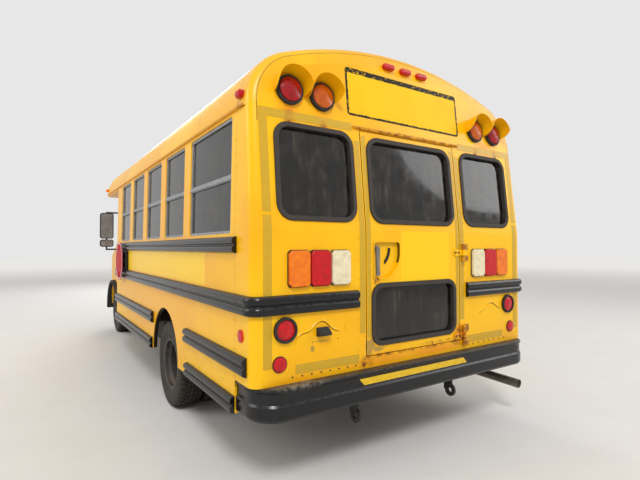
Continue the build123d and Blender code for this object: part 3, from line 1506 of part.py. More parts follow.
with BuildPart() as lamp_hoods:
    for plane, base in warn_places:
        for x in (-warn_red_x, -warn_amber_x, warn_amber_x, warn_red_x):
            add(visor(plane, x, warn_z - base))
save(lamp_hoods, "lamp_hoods")

# Grille: a frame with rounded corners round slim slats
slats = 7
frame_t = 12.0
slat_t = 12.0
with BuildPart() as grille:
    slat_step = (grille_high - grille_low - 2 * frame_t) / (slats - 1)
    with BuildSketch(nose_face.offset(-24)):
        with Locations((0, (grille_low + grille_high) / 2)):
            RectangleRounded(2 * grille_half_w, grille_high - grille_low, 8)
            RectangleRounded(2 * (grille_half_w - frame_t), grille_high - grille_low - 2 * frame_t, 14,
                             mode=Mode.SUBTRACT)
    extrude(amount=24)
    for n in range(slats):
        z = grille_low + frame_t + n * slat_step
        with BuildSketch(Plane.YZ.offset(2 - grille_half_w)):
            with BuildLine():
                y = cab_front_y + 6
                Polyline((y + 20, z - slat_t / 2), (y, z - slat_t / 2 + 3), (y, z + slat_t / 2 - 3),
                         (y + 20, z + slat_t / 2), close=True)
            make_face()
        extrude(amount=2 * grille_half_w - 4)
save(grille, "grille")

# Mirrors on both sides: flat glass over a convex one, on a tube frame
mirror_y = front_axle_y + 419.0
mirror_in = 1094.0
mirror_out = 1286.0
mirror_low = 1540.0
mirror_high = 1940.0
convex_low = 1410.0
convex_high = 1525.0
mirror_mid_x = (mirror_in + mirror_out) / 2
mirror_w = mirror_out - mirror_in
mirror_depth = 70.0
mirror_rim = 12.0
tube_r = 12.0
mirror_face = Plane(origin=(0, mirror_y + 30, 0), x_dir=(-1, 0, 0), z_dir=(0, 1, 0))
# low z, high z of the two glasses
mirror_heads = [(mirror_low, mirror_high), (convex_low, convex_high)]

with BuildPart() as mirrors:
    for low, high in mirror_heads:
        with BuildPart(mode=Mode.PRIVATE) as head:
            add(pane(mirror_face, -mirror_mid_x, low, high, mirror_w, 35, mirror_depth))
            back = head.faces().sort_by(Axis.Y)[0]
            fillet(back.edges(), 30)
            add(pane(mirror_face.offset(1), -mirror_mid_x, low + mirror_rim, high - mirror_rim,
                     mirror_w - 2 * mirror_rim, 24, 7), mode=Mode.SUBTRACT)
        add(head.part)
    with BuildSketch(Plane.XY.offset(1360)):
        with Locations((mirror_mid_x, mirror_y - 10)):
            Circle(tube_r)
    extrude(amount=600)
    # height of the tube, where its inner end is
    for z, reach in ((1372, cab_half_w - 3), (1948, cab_top_half_w + 40)):
        with BuildSketch(Plane.YZ.offset(reach - 40)):
            with Locations((mirror_y - 10, z)):
                Circle(tube_r)
        extrude(amount=mirror_mid_x - reach + 40)
    add(cab_outer, mode=Mode.SUBTRACT)
    mirror(about=Plane.YZ)
save(mirrors, "mirrors")

with BuildPart() as mirror_glass:
    for low, high in mirror_heads:
        add(pane(mirror_face, -mirror_mid_x, low + mirror_rim + seat_gap, high - mirror_rim - seat_gap,
                 mirror_w - 2 * mirror_rim - 2 * seat_gap, 24, 3))
    mirror(about=Plane.YZ)
save(mirror_glass, "mirror_glass")

# Stop arm: an octagon with two lamps, folded flat against the left side
sign_w = 457.0
sign_t = 6.0
sign_x = mirror_out - 14.0
sign_y = body_front_y + 500.0
sign_z = 1233.0
sign_lamp_z = 165.0
sign_lamp_r = 34.0
arm_axis_x = half_w + 45.0
arm_axis_y = sign_y - sign_w / 2 - 22.0
arm_r = 10.0
bar_h = 20.0
# z of the two arms, over the sign's middle
arm_bars = [-70.0, 50.0]
# z of the four bracket knuckles, over the sign's middle
arm_knuckles = [-90.0 - hinge_gap, -50.0 + hinge_gap, 30.0 - hinge_gap, 70.0 + hinge_gap]

with BuildPart() as stop_arm:
    with BuildSketch(Plane.YZ.offset(sign_x)):
        with Locations((sign_y, sign_z)):
            RegularPolygon(sign_w / 2, 8, major_radius=False, rotation=22.5)
    extrude(amount=sign_t)
    for dz in (-sign_lamp_z, sign_lamp_z):
        with BuildSketch(Plane.YZ.offset(sign_x + sign_t - 1)):
            with Locations((sign_y, sign_z + dz)):
                Circle(sign_lamp_r)
        extrude(amount=9, taper=12)
    for dz in arm_bars:
        z = sign_z + dz
        add(block_between(arm_axis_x, sign_x, arm_axis_y - 3, arm_axis_y + 11, z, z + bar_h))
        add(block_between(sign_x - 8, sign_x + 1, arm_axis_y - 3, sign_y, z, z + bar_h))
        with BuildSketch(Plane.XY.offset(z)):
            with Locations((arm_axis_x, arm_axis_y)):
                Circle(arm_r)
        extrude(amount=bar_h)
save(stop_arm, "stop_arm")

with BuildPart() as stop_arm_bracket:
    add(block_between(half_w, half_w + 30, arm_axis_y + 30, sign_y + 300, sign_z - 98, sign_z + 122))
    upright = stop_arm_bracket.edges().filter_by(Axis.Z).sort_by(Axis.X)[-2:]
    fillet(upright, 10)
    add(block_between(half_w, half_w + 12, arm_axis_y - 30, arm_axis_y + 31, sign_z - 98, sign_z + 110))
    for dz in arm_knuckles:
        z = sign_z + dz
        add(block_between(half_w + 11, arm_axis_x - 6, arm_axis_y - 6, arm_axis_y + 6, z, z + bar_h))
        with BuildSketch(Plane.XY.offset(z)):
            with Locations((arm_axis_x, arm_axis_y)):
                Circle(arm_r)
        extrude(amount=bar_h)
save(stop_arm_bracket, "stop_arm_bracket")

# Benches in two columns, and the driver's seat
bench_w = 960.0
bench_x = half_w - wall - 20 - bench_w / 2
bench_d = 380.0
bench_low = 1040.0
bench_high = 1150.0
back_t = 80.0
back_back = 235.0
back_low = bench_high + 20.0
back_high = 1690.0
pad_round = 28.0
rows = 5
first_row_y = rear_wall_y - 815.0
driver_x = 470.0
driver_y = front_axle_y + 1104.0
leg = 28.0
# width, depth, low z, high z, distance behind the seat's middle
bench_pads = [(bench_w, bench_d, bench_low, bench_high, 0.0), (bench_w, back_t, back_low, back_high,
                                                               back_back)]
driver_pads = [(500.0, 480.0, 1020.0, 1140.0, 0.0), (500.0, 110.0, 1090.0, 1730.0, 290.0)]


def pad(x, y, width, depth, low, high, behind):
    """Upholstered pad with rounded edges."""
    with BuildPart() as cushion:
        add(block_between(x - width / 2, x + width / 2, y + behind - depth / 2, y + behind + depth / 2,
                          low, high))
        fillet(cushion.edges().filter_by(Axis.X), pad_round)
    return cushion.part


with BuildPart() as seat_cushions:
    for n in range(rows):
        for side in (-1, 1):
            for sizes in bench_pads:
                add(pad(side * bench_x, first_row_y - n * window_pitch, *sizes))
    for sizes in driver_pads:
        add(pad(driver_x, driver_y, *sizes))
save(seat_cushions, "seat_cushions")

with BuildPart() as seat_frames:
    for n in range(rows):
        y = first_row_y - n * window_pitch
        for side in (-1, 1):
            for x in (bench_x - bench_w / 2 + 60, bench_x + bench_w / 2 - 60):
                for dy, top in ((-150, bench_low), (back_back, back_low)):
                    over_box = x > wheel_box_in and abs(y + dy - arch_y) < wheel_box_half - 20
                    foot = wheel_box_z if over_box else floor_z
                    add(block_between(side * x - leg / 2, side * x + leg / 2, y + dy - leg / 2,
                                      y + dy + leg / 2,
                                      foot, top))
            add(block_between(side * bench_x - bench_w / 2 + 40, side * bench_x + bench_w / 2 - 40, y - 170,
                              y + back_back + leg / 2, bench_low - 24, bench_low))
    add(block_between(driver_x - 180, driver_x + 180, driver_y - 200, driver_y + 200, floor_z, 1020))
    add(block_between(driver_x - 200, driver_x + 200, driver_y - 220, driver_y + 345, 1000, 1020))
    add(block_between(driver_x - 150, driver_x + 150, driver_y + 325, driver_y + 345, 1000, 1090))
save(seat_frames, "seat_frames")

# Dashboard with engine cover and steering column, and the steering wheel
steer_tilt = 32.0
steer_turn = math.radians(steer_tilt)
steer_centre = (driver_x, front_axle_y + 614.0, 1290.0)
steer_plane = Plane(origin=steer_centre, x_dir=(1, 0, 0), z_dir=(0, math.cos(steer_turn),
                                                                 math.sin(steer_turn)))
steer_r = 195.0
steer_rim_r = 14.0
hub_r = 45.0
column_gap_l = 60.0
dash_half_w = 900.0
# distance behind the bulkhead, z
dash_outline = [(0, 950), (0, 1290), (150, 1300), (300, 1230), (290, 1130), (210, 1040), (190, 950)]

with BuildPart() as dashboard:
    with BuildSketch(Plane.YZ.offset(-dash_half_w)) as profile:
        with BuildLine():
            Polyline(*[(bulkhead_y + dy, z) for dy, z in dash_outline], close=True)
        make_face()
        fillet([v for v in profile.vertices() if v.X > bulkhead_y + 100], 18)
    extrude(amount=2 * dash_half_w)
    add(block_between(-280, 280, bulkhead_y, bulkhead_y + 480, floor_z, 1080))
    with BuildSketch(steer_plane.offset(-column_gap_l - hinge_gap)):
        Circle(30)
    extrude(amount=-120)
save(dashboard, "dashboard")

with BuildPart() as steering_wheel:
    with BuildSketch(Plane(origin=steer_centre, x_dir=(1, 0, 0), z_dir=(0, -math.sin(steer_turn),
                                                                        math.cos(steer_turn)))):
        with Locations((steer_r - steer_rim_r, 0)):
            Circle(steer_rim_r)
    revolve(axis=Axis(steer_centre, steer_plane.z_dir))
    with BuildSketch(steer_plane.offset(-10)):
        Circle(hub_r)
        for turn in (-20, 90, 200):
            with Locations(Location((0, 0, 0), (0, 0, turn))):
                with Locations((steer_r / 2, 0)):
                    Rectangle(steer_r - 40, 26)
    extrude(amount=16)
    with BuildSketch(steer_plane):
        Circle(22)
    extrude(amount=-column_gap_l)
save(steering_wheel, "steering_wheel")
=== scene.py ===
"""Short school bus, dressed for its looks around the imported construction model.

Metres, +Z up. The nose points to -Y and the driver's side is +X.
"""
import json
import math
from functools import partial

import bmesh
import bpy
from mathutils import Matrix, Vector

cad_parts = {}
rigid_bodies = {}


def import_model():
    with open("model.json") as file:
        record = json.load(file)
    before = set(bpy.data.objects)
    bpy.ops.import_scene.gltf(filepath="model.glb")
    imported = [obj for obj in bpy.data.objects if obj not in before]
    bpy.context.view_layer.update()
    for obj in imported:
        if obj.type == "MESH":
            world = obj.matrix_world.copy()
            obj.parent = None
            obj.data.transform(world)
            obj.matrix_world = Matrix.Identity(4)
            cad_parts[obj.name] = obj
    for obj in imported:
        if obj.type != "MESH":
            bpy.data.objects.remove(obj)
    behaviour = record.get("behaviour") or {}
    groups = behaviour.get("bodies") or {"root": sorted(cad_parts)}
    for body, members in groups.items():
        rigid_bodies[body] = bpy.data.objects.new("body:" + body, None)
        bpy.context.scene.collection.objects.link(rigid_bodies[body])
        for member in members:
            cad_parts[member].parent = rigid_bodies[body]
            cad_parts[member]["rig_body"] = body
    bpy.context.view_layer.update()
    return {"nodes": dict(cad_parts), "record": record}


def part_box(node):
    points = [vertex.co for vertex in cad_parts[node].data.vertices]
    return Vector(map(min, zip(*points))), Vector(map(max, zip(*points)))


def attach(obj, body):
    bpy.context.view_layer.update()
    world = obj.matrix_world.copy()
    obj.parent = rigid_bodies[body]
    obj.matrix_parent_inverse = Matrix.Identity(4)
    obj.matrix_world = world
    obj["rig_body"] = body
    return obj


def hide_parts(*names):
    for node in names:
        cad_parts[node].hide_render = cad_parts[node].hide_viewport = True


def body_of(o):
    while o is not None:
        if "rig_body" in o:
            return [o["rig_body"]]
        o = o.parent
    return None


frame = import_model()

bl_info = {
    "name": "Short School Bus",
    "version": (1, 0, 0),
    "blender": (4, 5, 0),
    "location": "View3D > Sidebar > School Bus",
    "description": "Dresses the packed school bus with finishes, soft seats, tyres and trim",
    "category": "Object",
}

# Places that several pieces share
HALF_W = 1.219
BELT_Z = 1.500
REAR_Y = 3.290
REAR_LEAN = 0.0986
REAR_AXLE_Y = 1.434
FRONT_AXLE_Y = -2.579
AXLE_Z = 0.3715
FRONT_WHEEL_X = 0.8735
REAR_OUTER_X = 1.0575
REAR_INNER_X = 0.8075
BENCH_X = 0.679
BENCH_W = 0.960
FIRST_ROW_Y = 2.475
ROW_PITCH = 0.715
ROWS = 5
DRIVER_X = 0.470
DRIVER_Y = -1.475
HEADLAMP_X = 0.705
HEADLAMP_Z = 0.895
STOP_SIGN_Y = -0.470
STOP_SIGN_Z = 1.233

# What a Math node does: PLUS and MINUS stay between 0 and 1, as patterns do, SHIFT and LESS don't
TIMES = {"operation": "MULTIPLY"}
PLUS = {"operation": "ADD", "use_clamp": True}
MINUS = {"operation": "SUBTRACT", "use_clamp": True}
SHIFT = {"operation": "ADD"}
LESS = {"operation": "SUBTRACT"}
MOST = {"operation": "MAXIMUM"}
SIZE = {"operation": "ABSOLUTE"}


# Colours, nodes and the patterns that several finishes share

def linear(code):
    """sRGB hex colour as linear RGBA."""
    parts = [int(code[i:i + 2], 16) / 255 for i in (1, 3, 5)]
    return [c / 12.92 if c <= 0.04045 else ((c + 0.055) / 1.055) ** 2.4 for c in parts] + [1.0]


def add_node(tree, kind, inputs=(), **choices):
    """Add one shader node, with its choices and its inputs.

    The inputs come in Blender's order (TexNoise: vector, w, scale, detail, roughness), or by name
    or number. Each is a socket, a node, whose first output is meant, a hex colour, a plain value
    or a smooth ramp: a tuple of a pattern, the values it rises from and to, and what they become,
    if that isn't 0 and 1.
    """
    made = tree.nodes.new("ShaderNode" + kind)
    for name, value in choices.items():
        setattr(made, name, value)
    for name, value in (inputs if isinstance(inputs, dict) else dict(enumerate(inputs))).items():
        if isinstance(value, tuple) and isinstance(value[0], (bpy.types.Node, bpy.types.NodeSocket)):
            value = add_node(tree, "MapRange", value, interpolation_type="SMOOTHSTEP")
        if isinstance(value, bpy.types.Node):
            value = value.outputs[0]
        if isinstance(value, bpy.types.NodeSocket):
            tree.links.new(value, made.inputs[name])
        else:
            made.inputs[name].default_value = linear(value) if isinstance(value, str) else value
    return made


def open_material(name):
    """New material with an empty tree, the call that adds a node to it, and its place in metres."""
    material = bpy.data.materials.new(name)
    material.use_nodes = True
    material.node_tree.nodes.clear()
    add = partial(add_node, material.node_tree)
    return material, add, add("TexCoord").outputs["Object"]


def close_material(material, add, sockets, height=None, depth=0.0, strength=0.0):
    """End a material with its shader, and with the relief of a height pattern, depth metres deep."""
    if height is not None:
        relief = add("Bump", {"Height": height, "Distance": depth, "Strength": strength})
        sockets = {**sockets, "Normal": relief}
    add("OutputMaterial", {"Surface": add("BsdfPrincipled", sockets)})
    return material


def coat(add, under, over, share, strength=None):
    """A colour with another laid over it where a pattern shows, fully or at some strength."""
    if strength is not None:
        share = add("Math", (share, strength), **TIMES)
    return add("Mix", {0: share, 6: under, 7: over}, data_type="RGBA").outputs[2]


def tones(add, pattern, low, high, first, second):
    """Colour that runs from the first to the second as a pattern rises from low to high."""
    return coat(add, first, second, (pattern, low, high))


def facing(add):
    """Which way the surface faces at rest, as x, y and z, so that an opened door keeps its pattern."""
    return add("SeparateXYZ", (add("TexCoord").outputs["Normal"],)).outputs


def overlap(add, *patterns):
    """1 where all of these patterns are 1."""
    total = patterns[0]
    for pattern in patterns[1:]:
        total = add("Math", (total, pattern), **TIMES)
    return total


def inside(add, value, low, high, soft=0.002):
    """1 where a value is between low and high, with a soft edge."""
    return overlap(add, (value, low - soft, low + soft), (value, high + soft, high - soft))


def lines(add, value, pitch, width):
    """1 on lines that repeat every pitch metres."""
    turn = add("Math", (add("Math", (value, pitch), operation="DIVIDE"),), operation="FRACT")
    middle = add("Math", (add("Math", (turn, 0.5), **LESS),), **SIZE)
    return middle, width / pitch, 0.4 * width / pitch


def stretched(add, where, scale, size, detail=2.0, roughness=0.55):
    """Noise whose lumps are size metres across, drawn out along an axis whose scale is small."""
    drawn = add("Mapping", {"Vector": where, "Scale": scale})
    return add("TexNoise", (drawn, 0, 1 / size, detail, roughness))


def spots(add, where, table):
    """Soft spots, each 1 at its centre and 0 at its three reaches, from a table of centre and reach."""
    total = None
    for centre, reach in table:
        offset = add("VectorMath", (where, centre), **LESS)
        scaled = add("VectorMath", (offset, reach), operation="DIVIDE")
        length = add("VectorMath", (scaled,), operation="LENGTH").outputs["Value"]
        spot = (length, 1.0, 0.0)
        total = add("Math", (total, spot), **MOST) if total else spot
    return total


# Where the rust shows on the tail, and how far it reaches: under hinges, lamps, drip rail and door sill
TAIL_RUST = (
    ((-0.46, 3.33, 0.74), (0.09, 0.25, 0.09)),
    ((-0.43, 3.33, 0.80), (0.05, 0.25, 0.05)),
    ((-0.40, 3.33, 0.71), (0.10, 0.25, 0.05)),
    ((0.43, 3.33, 0.69), (0.07, 0.25, 0.06)),
    ((0.46, 3.33, 0.665), (0.05, 0.25, 0.05)),
    ((0.0, 3.33, 0.705), (0.44, 0.20, 0.018)),
    ((0.28, 3.33, 0.708), (0.20, 0.20, 0.022)),
    ((-0.20, 3.33, 0.730), (0.26, 0.20, 0.020)),
    ((0.72, 3.25, 2.12), (0.04, 0.25, 0.08)),
    ((0.96, 3.25, 2.16), (0.05, 0.25, 0.09)),
    ((-0.72, 3.25, 2.12), (0.04, 0.25, 0.08)),
    ((-0.96, 3.25, 2.14), (0.04, 0.25, 0.07)),
    ((0.0, 3.26, 2.165), (0.53, 0.20, 0.016)),
    ((-0.475, 3.33, 1.27), (0.03, 0.25, 0.06)),
    ((0.36, 3.33, 1.185), (0.05, 0.25, 0.05)),
)
# Bare primer and old filler
TAIL_PRIMER = (
    ((0.410, 3.33, 0.775), (0.070, 0.25, 0.095)),
    ((0.345, 3.33, 0.748), (0.090, 0.25, 0.028)),
    ((0.842, 3.33, 0.812), (0.024, 0.25, 0.032)),
    ((0.775, 3.33, 0.850), (0.095, 0.25, 0.006)),
)
# Deep orange where rust is only a film: the sill under the door
TAIL_FILM = (
    ((0.30, 3.33, 0.675), (0.36, 0.20, 0.055)),
    ((-0.16, 3.33, 0.680), (0.48, 0.20, 0.050)),
    ((-0.44, 3.33, 0.760), (0.12, 0.20, 0.110)),
    ((0.72, 3.25, 2.17), (0.10, 0.25, 0.12)),
    ((0.96, 3.25, 2.19), (0.11, 0.25, 0.12)),
    ((-0.84, 3.25, 2.17), (0.18, 0.25, 0.10)),
    ((0.95, 3.33, 0.60), (0.30, 0.25, 0.10)),
)
# White scuff on the bumper's left corner, where it has been backed into something
BUMPER_SCUFF = (
    ((0.95, 3.34, 0.650), (0.28, 0.12, 0.050)),
    ((0.62, 3.34, 0.655), (0.24, 0.12, 0.020)),
)


def bled_rust(add, where, small):
    """1 where rust has bled over the tail, broken up by a fine pattern."""
    return overlap(add, spots(add, where, TAIL_RUST), (small, 0.34, 0.62))


def tail_depth(add, y, z):
    """How far back a point lies, with the lean of the rear wall above the belt taken out."""
    above = add("Math", (add("Math", (z, BELT_Z), **LESS), 0.0), **MOST)
    return add("Math", (y, add("Math", (above, REAR_LEAN), **TIMES)), **SHIFT)


def cap_seam(add, y, z):
    """1 on the sealed seam that follows the arch of the tail, where the wall starts to turn into the roof."""
    depth = tail_depth(add, y, z)
    return overlap(add, (depth, REAR_Y - 0.0030, REAR_Y - 0.0026), (depth, REAR_Y - 0.0010, REAR_Y - 0.0014),
                   (z, 2.09, 2.10))


def orange_peel(add, where, large):
    """Height of the paint's faint waves, 6 mm across: coarser than life, so that they show."""
    fine = add("TexNoise", (where, 0, 1 / 0.006, 1.0, 0.55))
    return add("Math", (fine, add("Math", (large, 0.8), **TIMES)), **PLUS)


# Finishes: each from the real material, how it was made and what time did to it

def school_bus_enamel(name="school_bus_enamel", creased=False):
    """Sprayed and baked enamel on steel sheet, or, creased, the same where a knock has bent it, with painted shade
    under the ridge.

    It has a wet gloss with faint orange peel, dulled by road dust low down,
    bleached where the sun falls and bleeding rust at the seams of the tail.
    """
    material, add, where = open_material(name)
    x, y, z = add("SeparateXYZ", (where,)).outputs
    sides = add("Math", (x,), **SIZE)
    large = add("TexNoise", (where, 0, 1 / 0.9, 3.0, 0.55))
    small = add("TexNoise", (where, 0, 1 / 0.045, 6.0, 0.65))
    colour = tones(add, large, 0.35, 0.65, "#F5B000", "#FDC202")
    # film of road dust, thick near the skirt and thin above the belt
    dust = overlap(add, (z, 0.80, 0.42), (small, 0.30, 0.75), (y, 3.25, 3.10, 0.3, 1.0))
    colour = coat(add, colour, "#B98A3C", dust, 0.38)
    # specks and scuffs a few millimetres across
    specks = add("TexNoise", (where, 0, 1 / 0.012, 2.0, 0.55))
    colour = coat(add, colour, "#8A5A12", (specks, 0.70, 0.80), 0.25)
    # a fresher patch on the door, where sheeting kept the sun off
    fresh = overlap(add, inside(add, x, -0.33, 0.14), inside(add, z, 1.165, 1.50), (y, 3.20, 3.25))
    colour = coat(add, colour, "#FED002", fresh, 0.7)
    # and a long one on each flank between the rails, where letters have been painted over
    masked = overlap(add, inside(add, y, -0.30, 2.54, 0.004), inside(add, z, 1.145, 1.395, 0.004),
                     (sides, 1.15, 1.16))
    colour = coat(add, colour, "#FFD402", masked, 0.75)
    # a film of rust, bare primer, and rust that bled out of the seams and stands up in scabs
    film = overlap(add, spots(add, where, TAIL_FILM), (large, 0.25, 0.60))
    colour = coat(add, colour, "#EE8606", film, 0.85)
    primer = overlap(add, spots(add, where, TAIL_PRIMER), (small, 0.25, 0.50))
    colour = coat(add, colour, "#A8873F", (primer, 0.2, 0.5), 0.85)
    rust = bled_rust(add, where, small)
    colour = coat(add, colour, "#8A3F12", rust, 0.85)
    colour = coat(add, colour, "#43200F", rust, (small, 0.52, 0.64))
    colour = coat(add, colour, "#5F4314", cap_seam(add, y, z), 0.75)
    # the cut edges of the rear wall round the panes and the door are painted dark: sealer, with painted shade in the
    # openings
    sunk = inside(add, tail_depth(add, y, z), REAR_Y - 0.070, REAR_Y + 0.002, 0.001)
    edge_on = (add("Math", (facing(add)[1],), **SIZE), 0.6, 0.4)
    near = overlap(add, inside(add, z, 0.72, 2.130), (sides, 1.06, 1.05))
    pocket = overlap(add, inside(add, x, 0.17, 0.37), inside(add, z, 1.13, 1.39))
    sealer_and_painted_shade = overlap(add, sunk, edge_on, add("Math", (near, pocket), **MINUS))
    colour = coat(add, colour, "#2A2018", sealer_and_painted_shade, 0.9)
    # underseal and painted shade: the rims of the rear wheel arches are painted near black
    arch = overlap(add, inside(add, y, 1.02, 1.95), inside(add, z, 0.30, 0.905),
                   inside(add, sides, 1.00, HALF_W - 0.007))
    colour = coat(add, colour, "#1B1917", arch)
    # lapped seam where the flank sheet meets the tail's corner panel
    lap = overlap(add, inside(add, y, 3.0545, 3.0575, 0.0008), inside(add, z, 0.60, 2.13), (sides, 1.10, 1.12))
    colour = coat(add, colour, "#6B4A10", lap, 0.65)
    if creased:
        # dirt and painted shade in the fold under the ridge: faces that look down are painted darker
        fold = (facing(add)[2], -0.08, -0.35, 0.0, 0.85)
        colour = coat(add, colour, "#7A4A08", fold)
    dull = add("Math", (add("Math", (dust, 0.35), **TIMES), (small, 0.2, 0.8, 0.26, 0.40)), **PLUS)
    rough = add("Math", (dull, add("Math", (rust, 0.3), **TIMES)), **PLUS)
    return close_material(material, add, {
        "Base Color": colour, "Roughness": rough, "Specular IOR Level": 0.28, "Coat Weight": 0.08,
        "Coat Roughness": 0.12}, orange_peel(add, where, large), 0.0006, 0.35)


def roof_enamel():
    """The same enamel on the roof sheets, whose crown was sprayed white against the sun."""
    material, add, where = open_material("roof_enamel")
    _, y, z = add("SeparateXYZ", (where,)).outputs
    large = add("TexNoise", (where, 0, 1 / 0.8, 3.0, 0.55))
    small = add("TexNoise", (where, 0, 1 / 0.05, 6.0, 0.65))
    yellow = tones(add, large, 0.35, 0.65, "#F3B002", "#FBC006")
    white = tones(add, small, 0.3, 0.7, "#D6D4CC", "#E6E4DC")
    # the crown is white from a hand above the shoulder, short of the two end caps
    edge = add("Math", (z, add("Math", (small, 0.006), **TIMES)), **SHIFT)
    middle = overlap(add, (y, -1.010, -1.005), (y, 3.030, 3.025))
    crown = overlap(add, (edge, 2.424, 2.430), middle)
    colour = coat(add, yellow, white, crown)
    # lapped seams of the roof sheets, one over each window post, and of the two end caps
    seams = add("Math", (inside(add, y, 3.158, 3.161, 0.001), inside(add, y, -1.012, -1.009, 0.001)), **MOST)
    posts = lines(add, add("Math", (y, 10.165), **SHIFT), ROW_PITCH, 0.004)
    seams = add("Math", (add("Math", (posts, seams), **MOST), cap_seam(add, y, z)), **MOST)
    colour = coat(add, colour, "#6B5524", seams, 0.6)
    # dark streaks that rain drew down from the crown
    streaks = stretched(add, where, (1.0, 1.0, 0.08), 0.03, 3.0)
    colour = coat(add, colour, "#7A6038", (streaks, 0.60, 0.75), 0.16)
    colour = coat(add, colour, "#9A4A12", bled_rust(add, where, small), 0.7)
    sunk = add("Math", (seams, 0.9), **TIMES)
    return close_material(material, add, {
        "Base Color": colour, "Roughness": (small, 0.2, 0.8, 0.30, 0.46), "Specular IOR Level": 0.35,
        "Coat Weight": 0.12, "Coat Roughness": 0.15},
        add("Math", (orange_peel(add, where, large), sunk), **LESS), 0.0008, 0.4)


def black_enamel():
    """Gloss black enamel on rolled steel, scuffed to grey on its edges and dusty on top."""
    material, add, where = open_material("gloss_black_enamel")
    small = add("TexNoise", (where, 0, 1 / 0.03, 6.0, 0.65))
    colour = tones(add, small, 0.45, 0.75, "#0B0B0E", "#17171B")
    dust = overlap(add, (facing(add)[2], 0.35, 0.95), (small, 0.25, 0.7))
    colour = coat(add, colour, "#6E655A", dust, 0.35)
    scuffed = overlap(add, spots(add, where, BUMPER_SCUFF), (small, 0.40, 0.60))
    colour = coat(add, colour, "#8F8678", scuffed, 0.75)
    # long scratches along the rails, about 3 mm wide
    scratches = stretched(add, where, (1.0, 0.05, 1.0), 0.006)
    colour = coat(add, colour, "#5A5650", (scratches, 0.68, 0.76), 0.20)
    rough = add("Math", ((small, 0.2, 0.8, 0.14, 0.30), add("Math", (dust, 0.4), **TIMES)), **PLUS)
    return close_material(material, add, {
        "Base Color": colour, "Roughness": rough, "Specular IOR Level": 0.40}, small, 0.0004, 0.3)


def tinted_glass():
    """Tempered float glass with a dark privacy tint, a thin film of dust outside."""
    material, add, where = open_material("tinted_tempered_glass")
    film = add("TexNoise", (where, 0, 1 / 0.12, 5.0, 0.6))
    # dust that rain has drawn down into streaks a few centimetres apart
    drawn = stretched(add, where, (1.0, 1.0, 0.12), 0.05, 5.0, 0.65)
    streaks = overlap(add, (drawn, 0.40, 0.70), (film, 0.30, 0.65))
    specks = (add("TexNoise", (where, 0, 1 / 0.010, 2.0, 0.55)), 0.66, 0.74)
    dust = add("Math", (add("Math", (streaks, 0.45), **TIMES), add("Math", (specks, 0.25), **TIMES)), **PLUS)
    tint = tones(add, film, 0.35, 0.75, "#2E2B26", "#403C34")
    return close_material(material, add, {
        "Base Color": coat(add, tint, "#7D7263", dust), "Roughness": (film, 0.3, 0.8, 0.03, 0.14), "IOR": 1.50,
        "Specular IOR Level": 0.3, "Transmission Weight": (dust, 0.0, 0.6, 0.86, 0.40)})


def clear_glass():
    """Laminated windscreen glass, nearly clear with a green cast."""
    material, add, where = open_material("laminated_glass")
    film = add("TexNoise", (where, 0, 1 / 0.12, 5.0, 0.6))
    return close_material(material, add, {
        "Base Color": tones(add, film, 0.35, 0.75, "#8C9B96", "#9AA6A0"), "IOR": 1.50, "Transmission Weight": 0.9,
        "Roughness": (film, 0.3, 0.8, 0.02, 0.10)})


def sash_aluminium():
    """Extruded and anodised aluminium, gone chalky grey, with fine drawing lines along its length."""
    material, add, where = open_material("anodised_aluminium")
    small = add("TexNoise", (where, 0, 1 / 0.02, 5.0, 0.55))
    drawing = stretched(add, where, (1, 0.04, 1), 0.002)
    colour = tones(add, small, 0.35, 0.7, "#8D8F90", "#A6A8A8")
    colour = coat(add, colour, "#5D5A55", (small, 0.6, 0.8), 0.5)
    return close_material(material, add, {
        "Base Color": colour, "Metallic": 0.75, "Roughness": (drawing, 0.3, 0.7, 0.38, 0.58)}, drawing, 0.0002, 0.3)


def weathered_rubber(name, dark, pale, size, dusty):
    """Extruded or moulded rubber: dull, with a pale bloom and dust in its pores."""
    material, add, where = open_material(name)
    small = add("TexNoise", (where, 0, 1 / size, 6.0, 0.65))
    pores = add("TexNoise", (where, 0, 12 / size, 2.0, 0.55))
    colour = tones(add, small, 0.35, 0.7, dark, pale)
    colour = coat(add, colour, "#8A7B66", (pores, 0.45, 0.75), dusty)
    return close_material(material, add, {
        "Base Color": colour, "Specular IOR Level": 0.35, "Roughness": (small, 0.2, 0.8, 0.62, 0.85)},
        pores, 0.0006, 0.5)


def glazing_rubber():
    """Extruded glazing rubber, paler grey-brown on its outward lip from sun bleaching and a painted highlight, and
    black inside the groove.
    """
    material, add, where = open_material("glazing_rubber")
    small = add("TexNoise", (where, 0, 1 / 0.03, 6.0, 0.65))
    way = facing(add)
    outward = add("Math", (add("Math", (way[1],), **SIZE), add("Math", (way[0],), **SIZE)), **MOST)
    # the outward lip is painted paler: sun bleaching, with a painted highlight
    lip = overlap(add, (outward, 0.80, 0.96), (small, 0.15, 0.55))
    colour = tones(add, small, 0.35, 0.7, "#171615", "#262321")
    return close_material(material, add, {
        "Base Color": coat(add, colour, "#4A423C", lip, 0.6), "Roughness": (small, 0.2, 0.8, 0.58, 0.80),
        "Specular IOR Level": 0.35}, add("TexNoise", (where, 0, 1 / 0.0025, 2.0, 0.55)), 0.0005, 0.4)


def painted_steel(name, dark, pale, rust, rough_low, rough_high, metal=0.0):
    """Brushed or sprayed paint on forged and pressed steel, dusty and rusting at its edges."""
    material, add, where = open_material(name)
    large = add("TexNoise", (where, 0, 1 / 0.12, 5.0, 0.6))
    small = add("TexNoise", (where, 0, 1 / 0.014, 4.0, 0.6))
    colour = tones(add, large, 0.35, 0.7, dark, pale)
    bitten = overlap(add, (large, 0.52, 0.70), (small, 0.40, 0.62))
    rough = add("Math", ((small, 0.2, 0.8, rough_low, rough_high), add("Math", (bitten, 0.25), **TIMES)), **PLUS)
    return close_material(material, add, {
        "Base Color": coat(add, colour, "#7A3E1A", bitten, rust), "Roughness": rough, "Metallic": metal},
        add("Math", (small, bitten), **PLUS), 0.0006, 0.5)


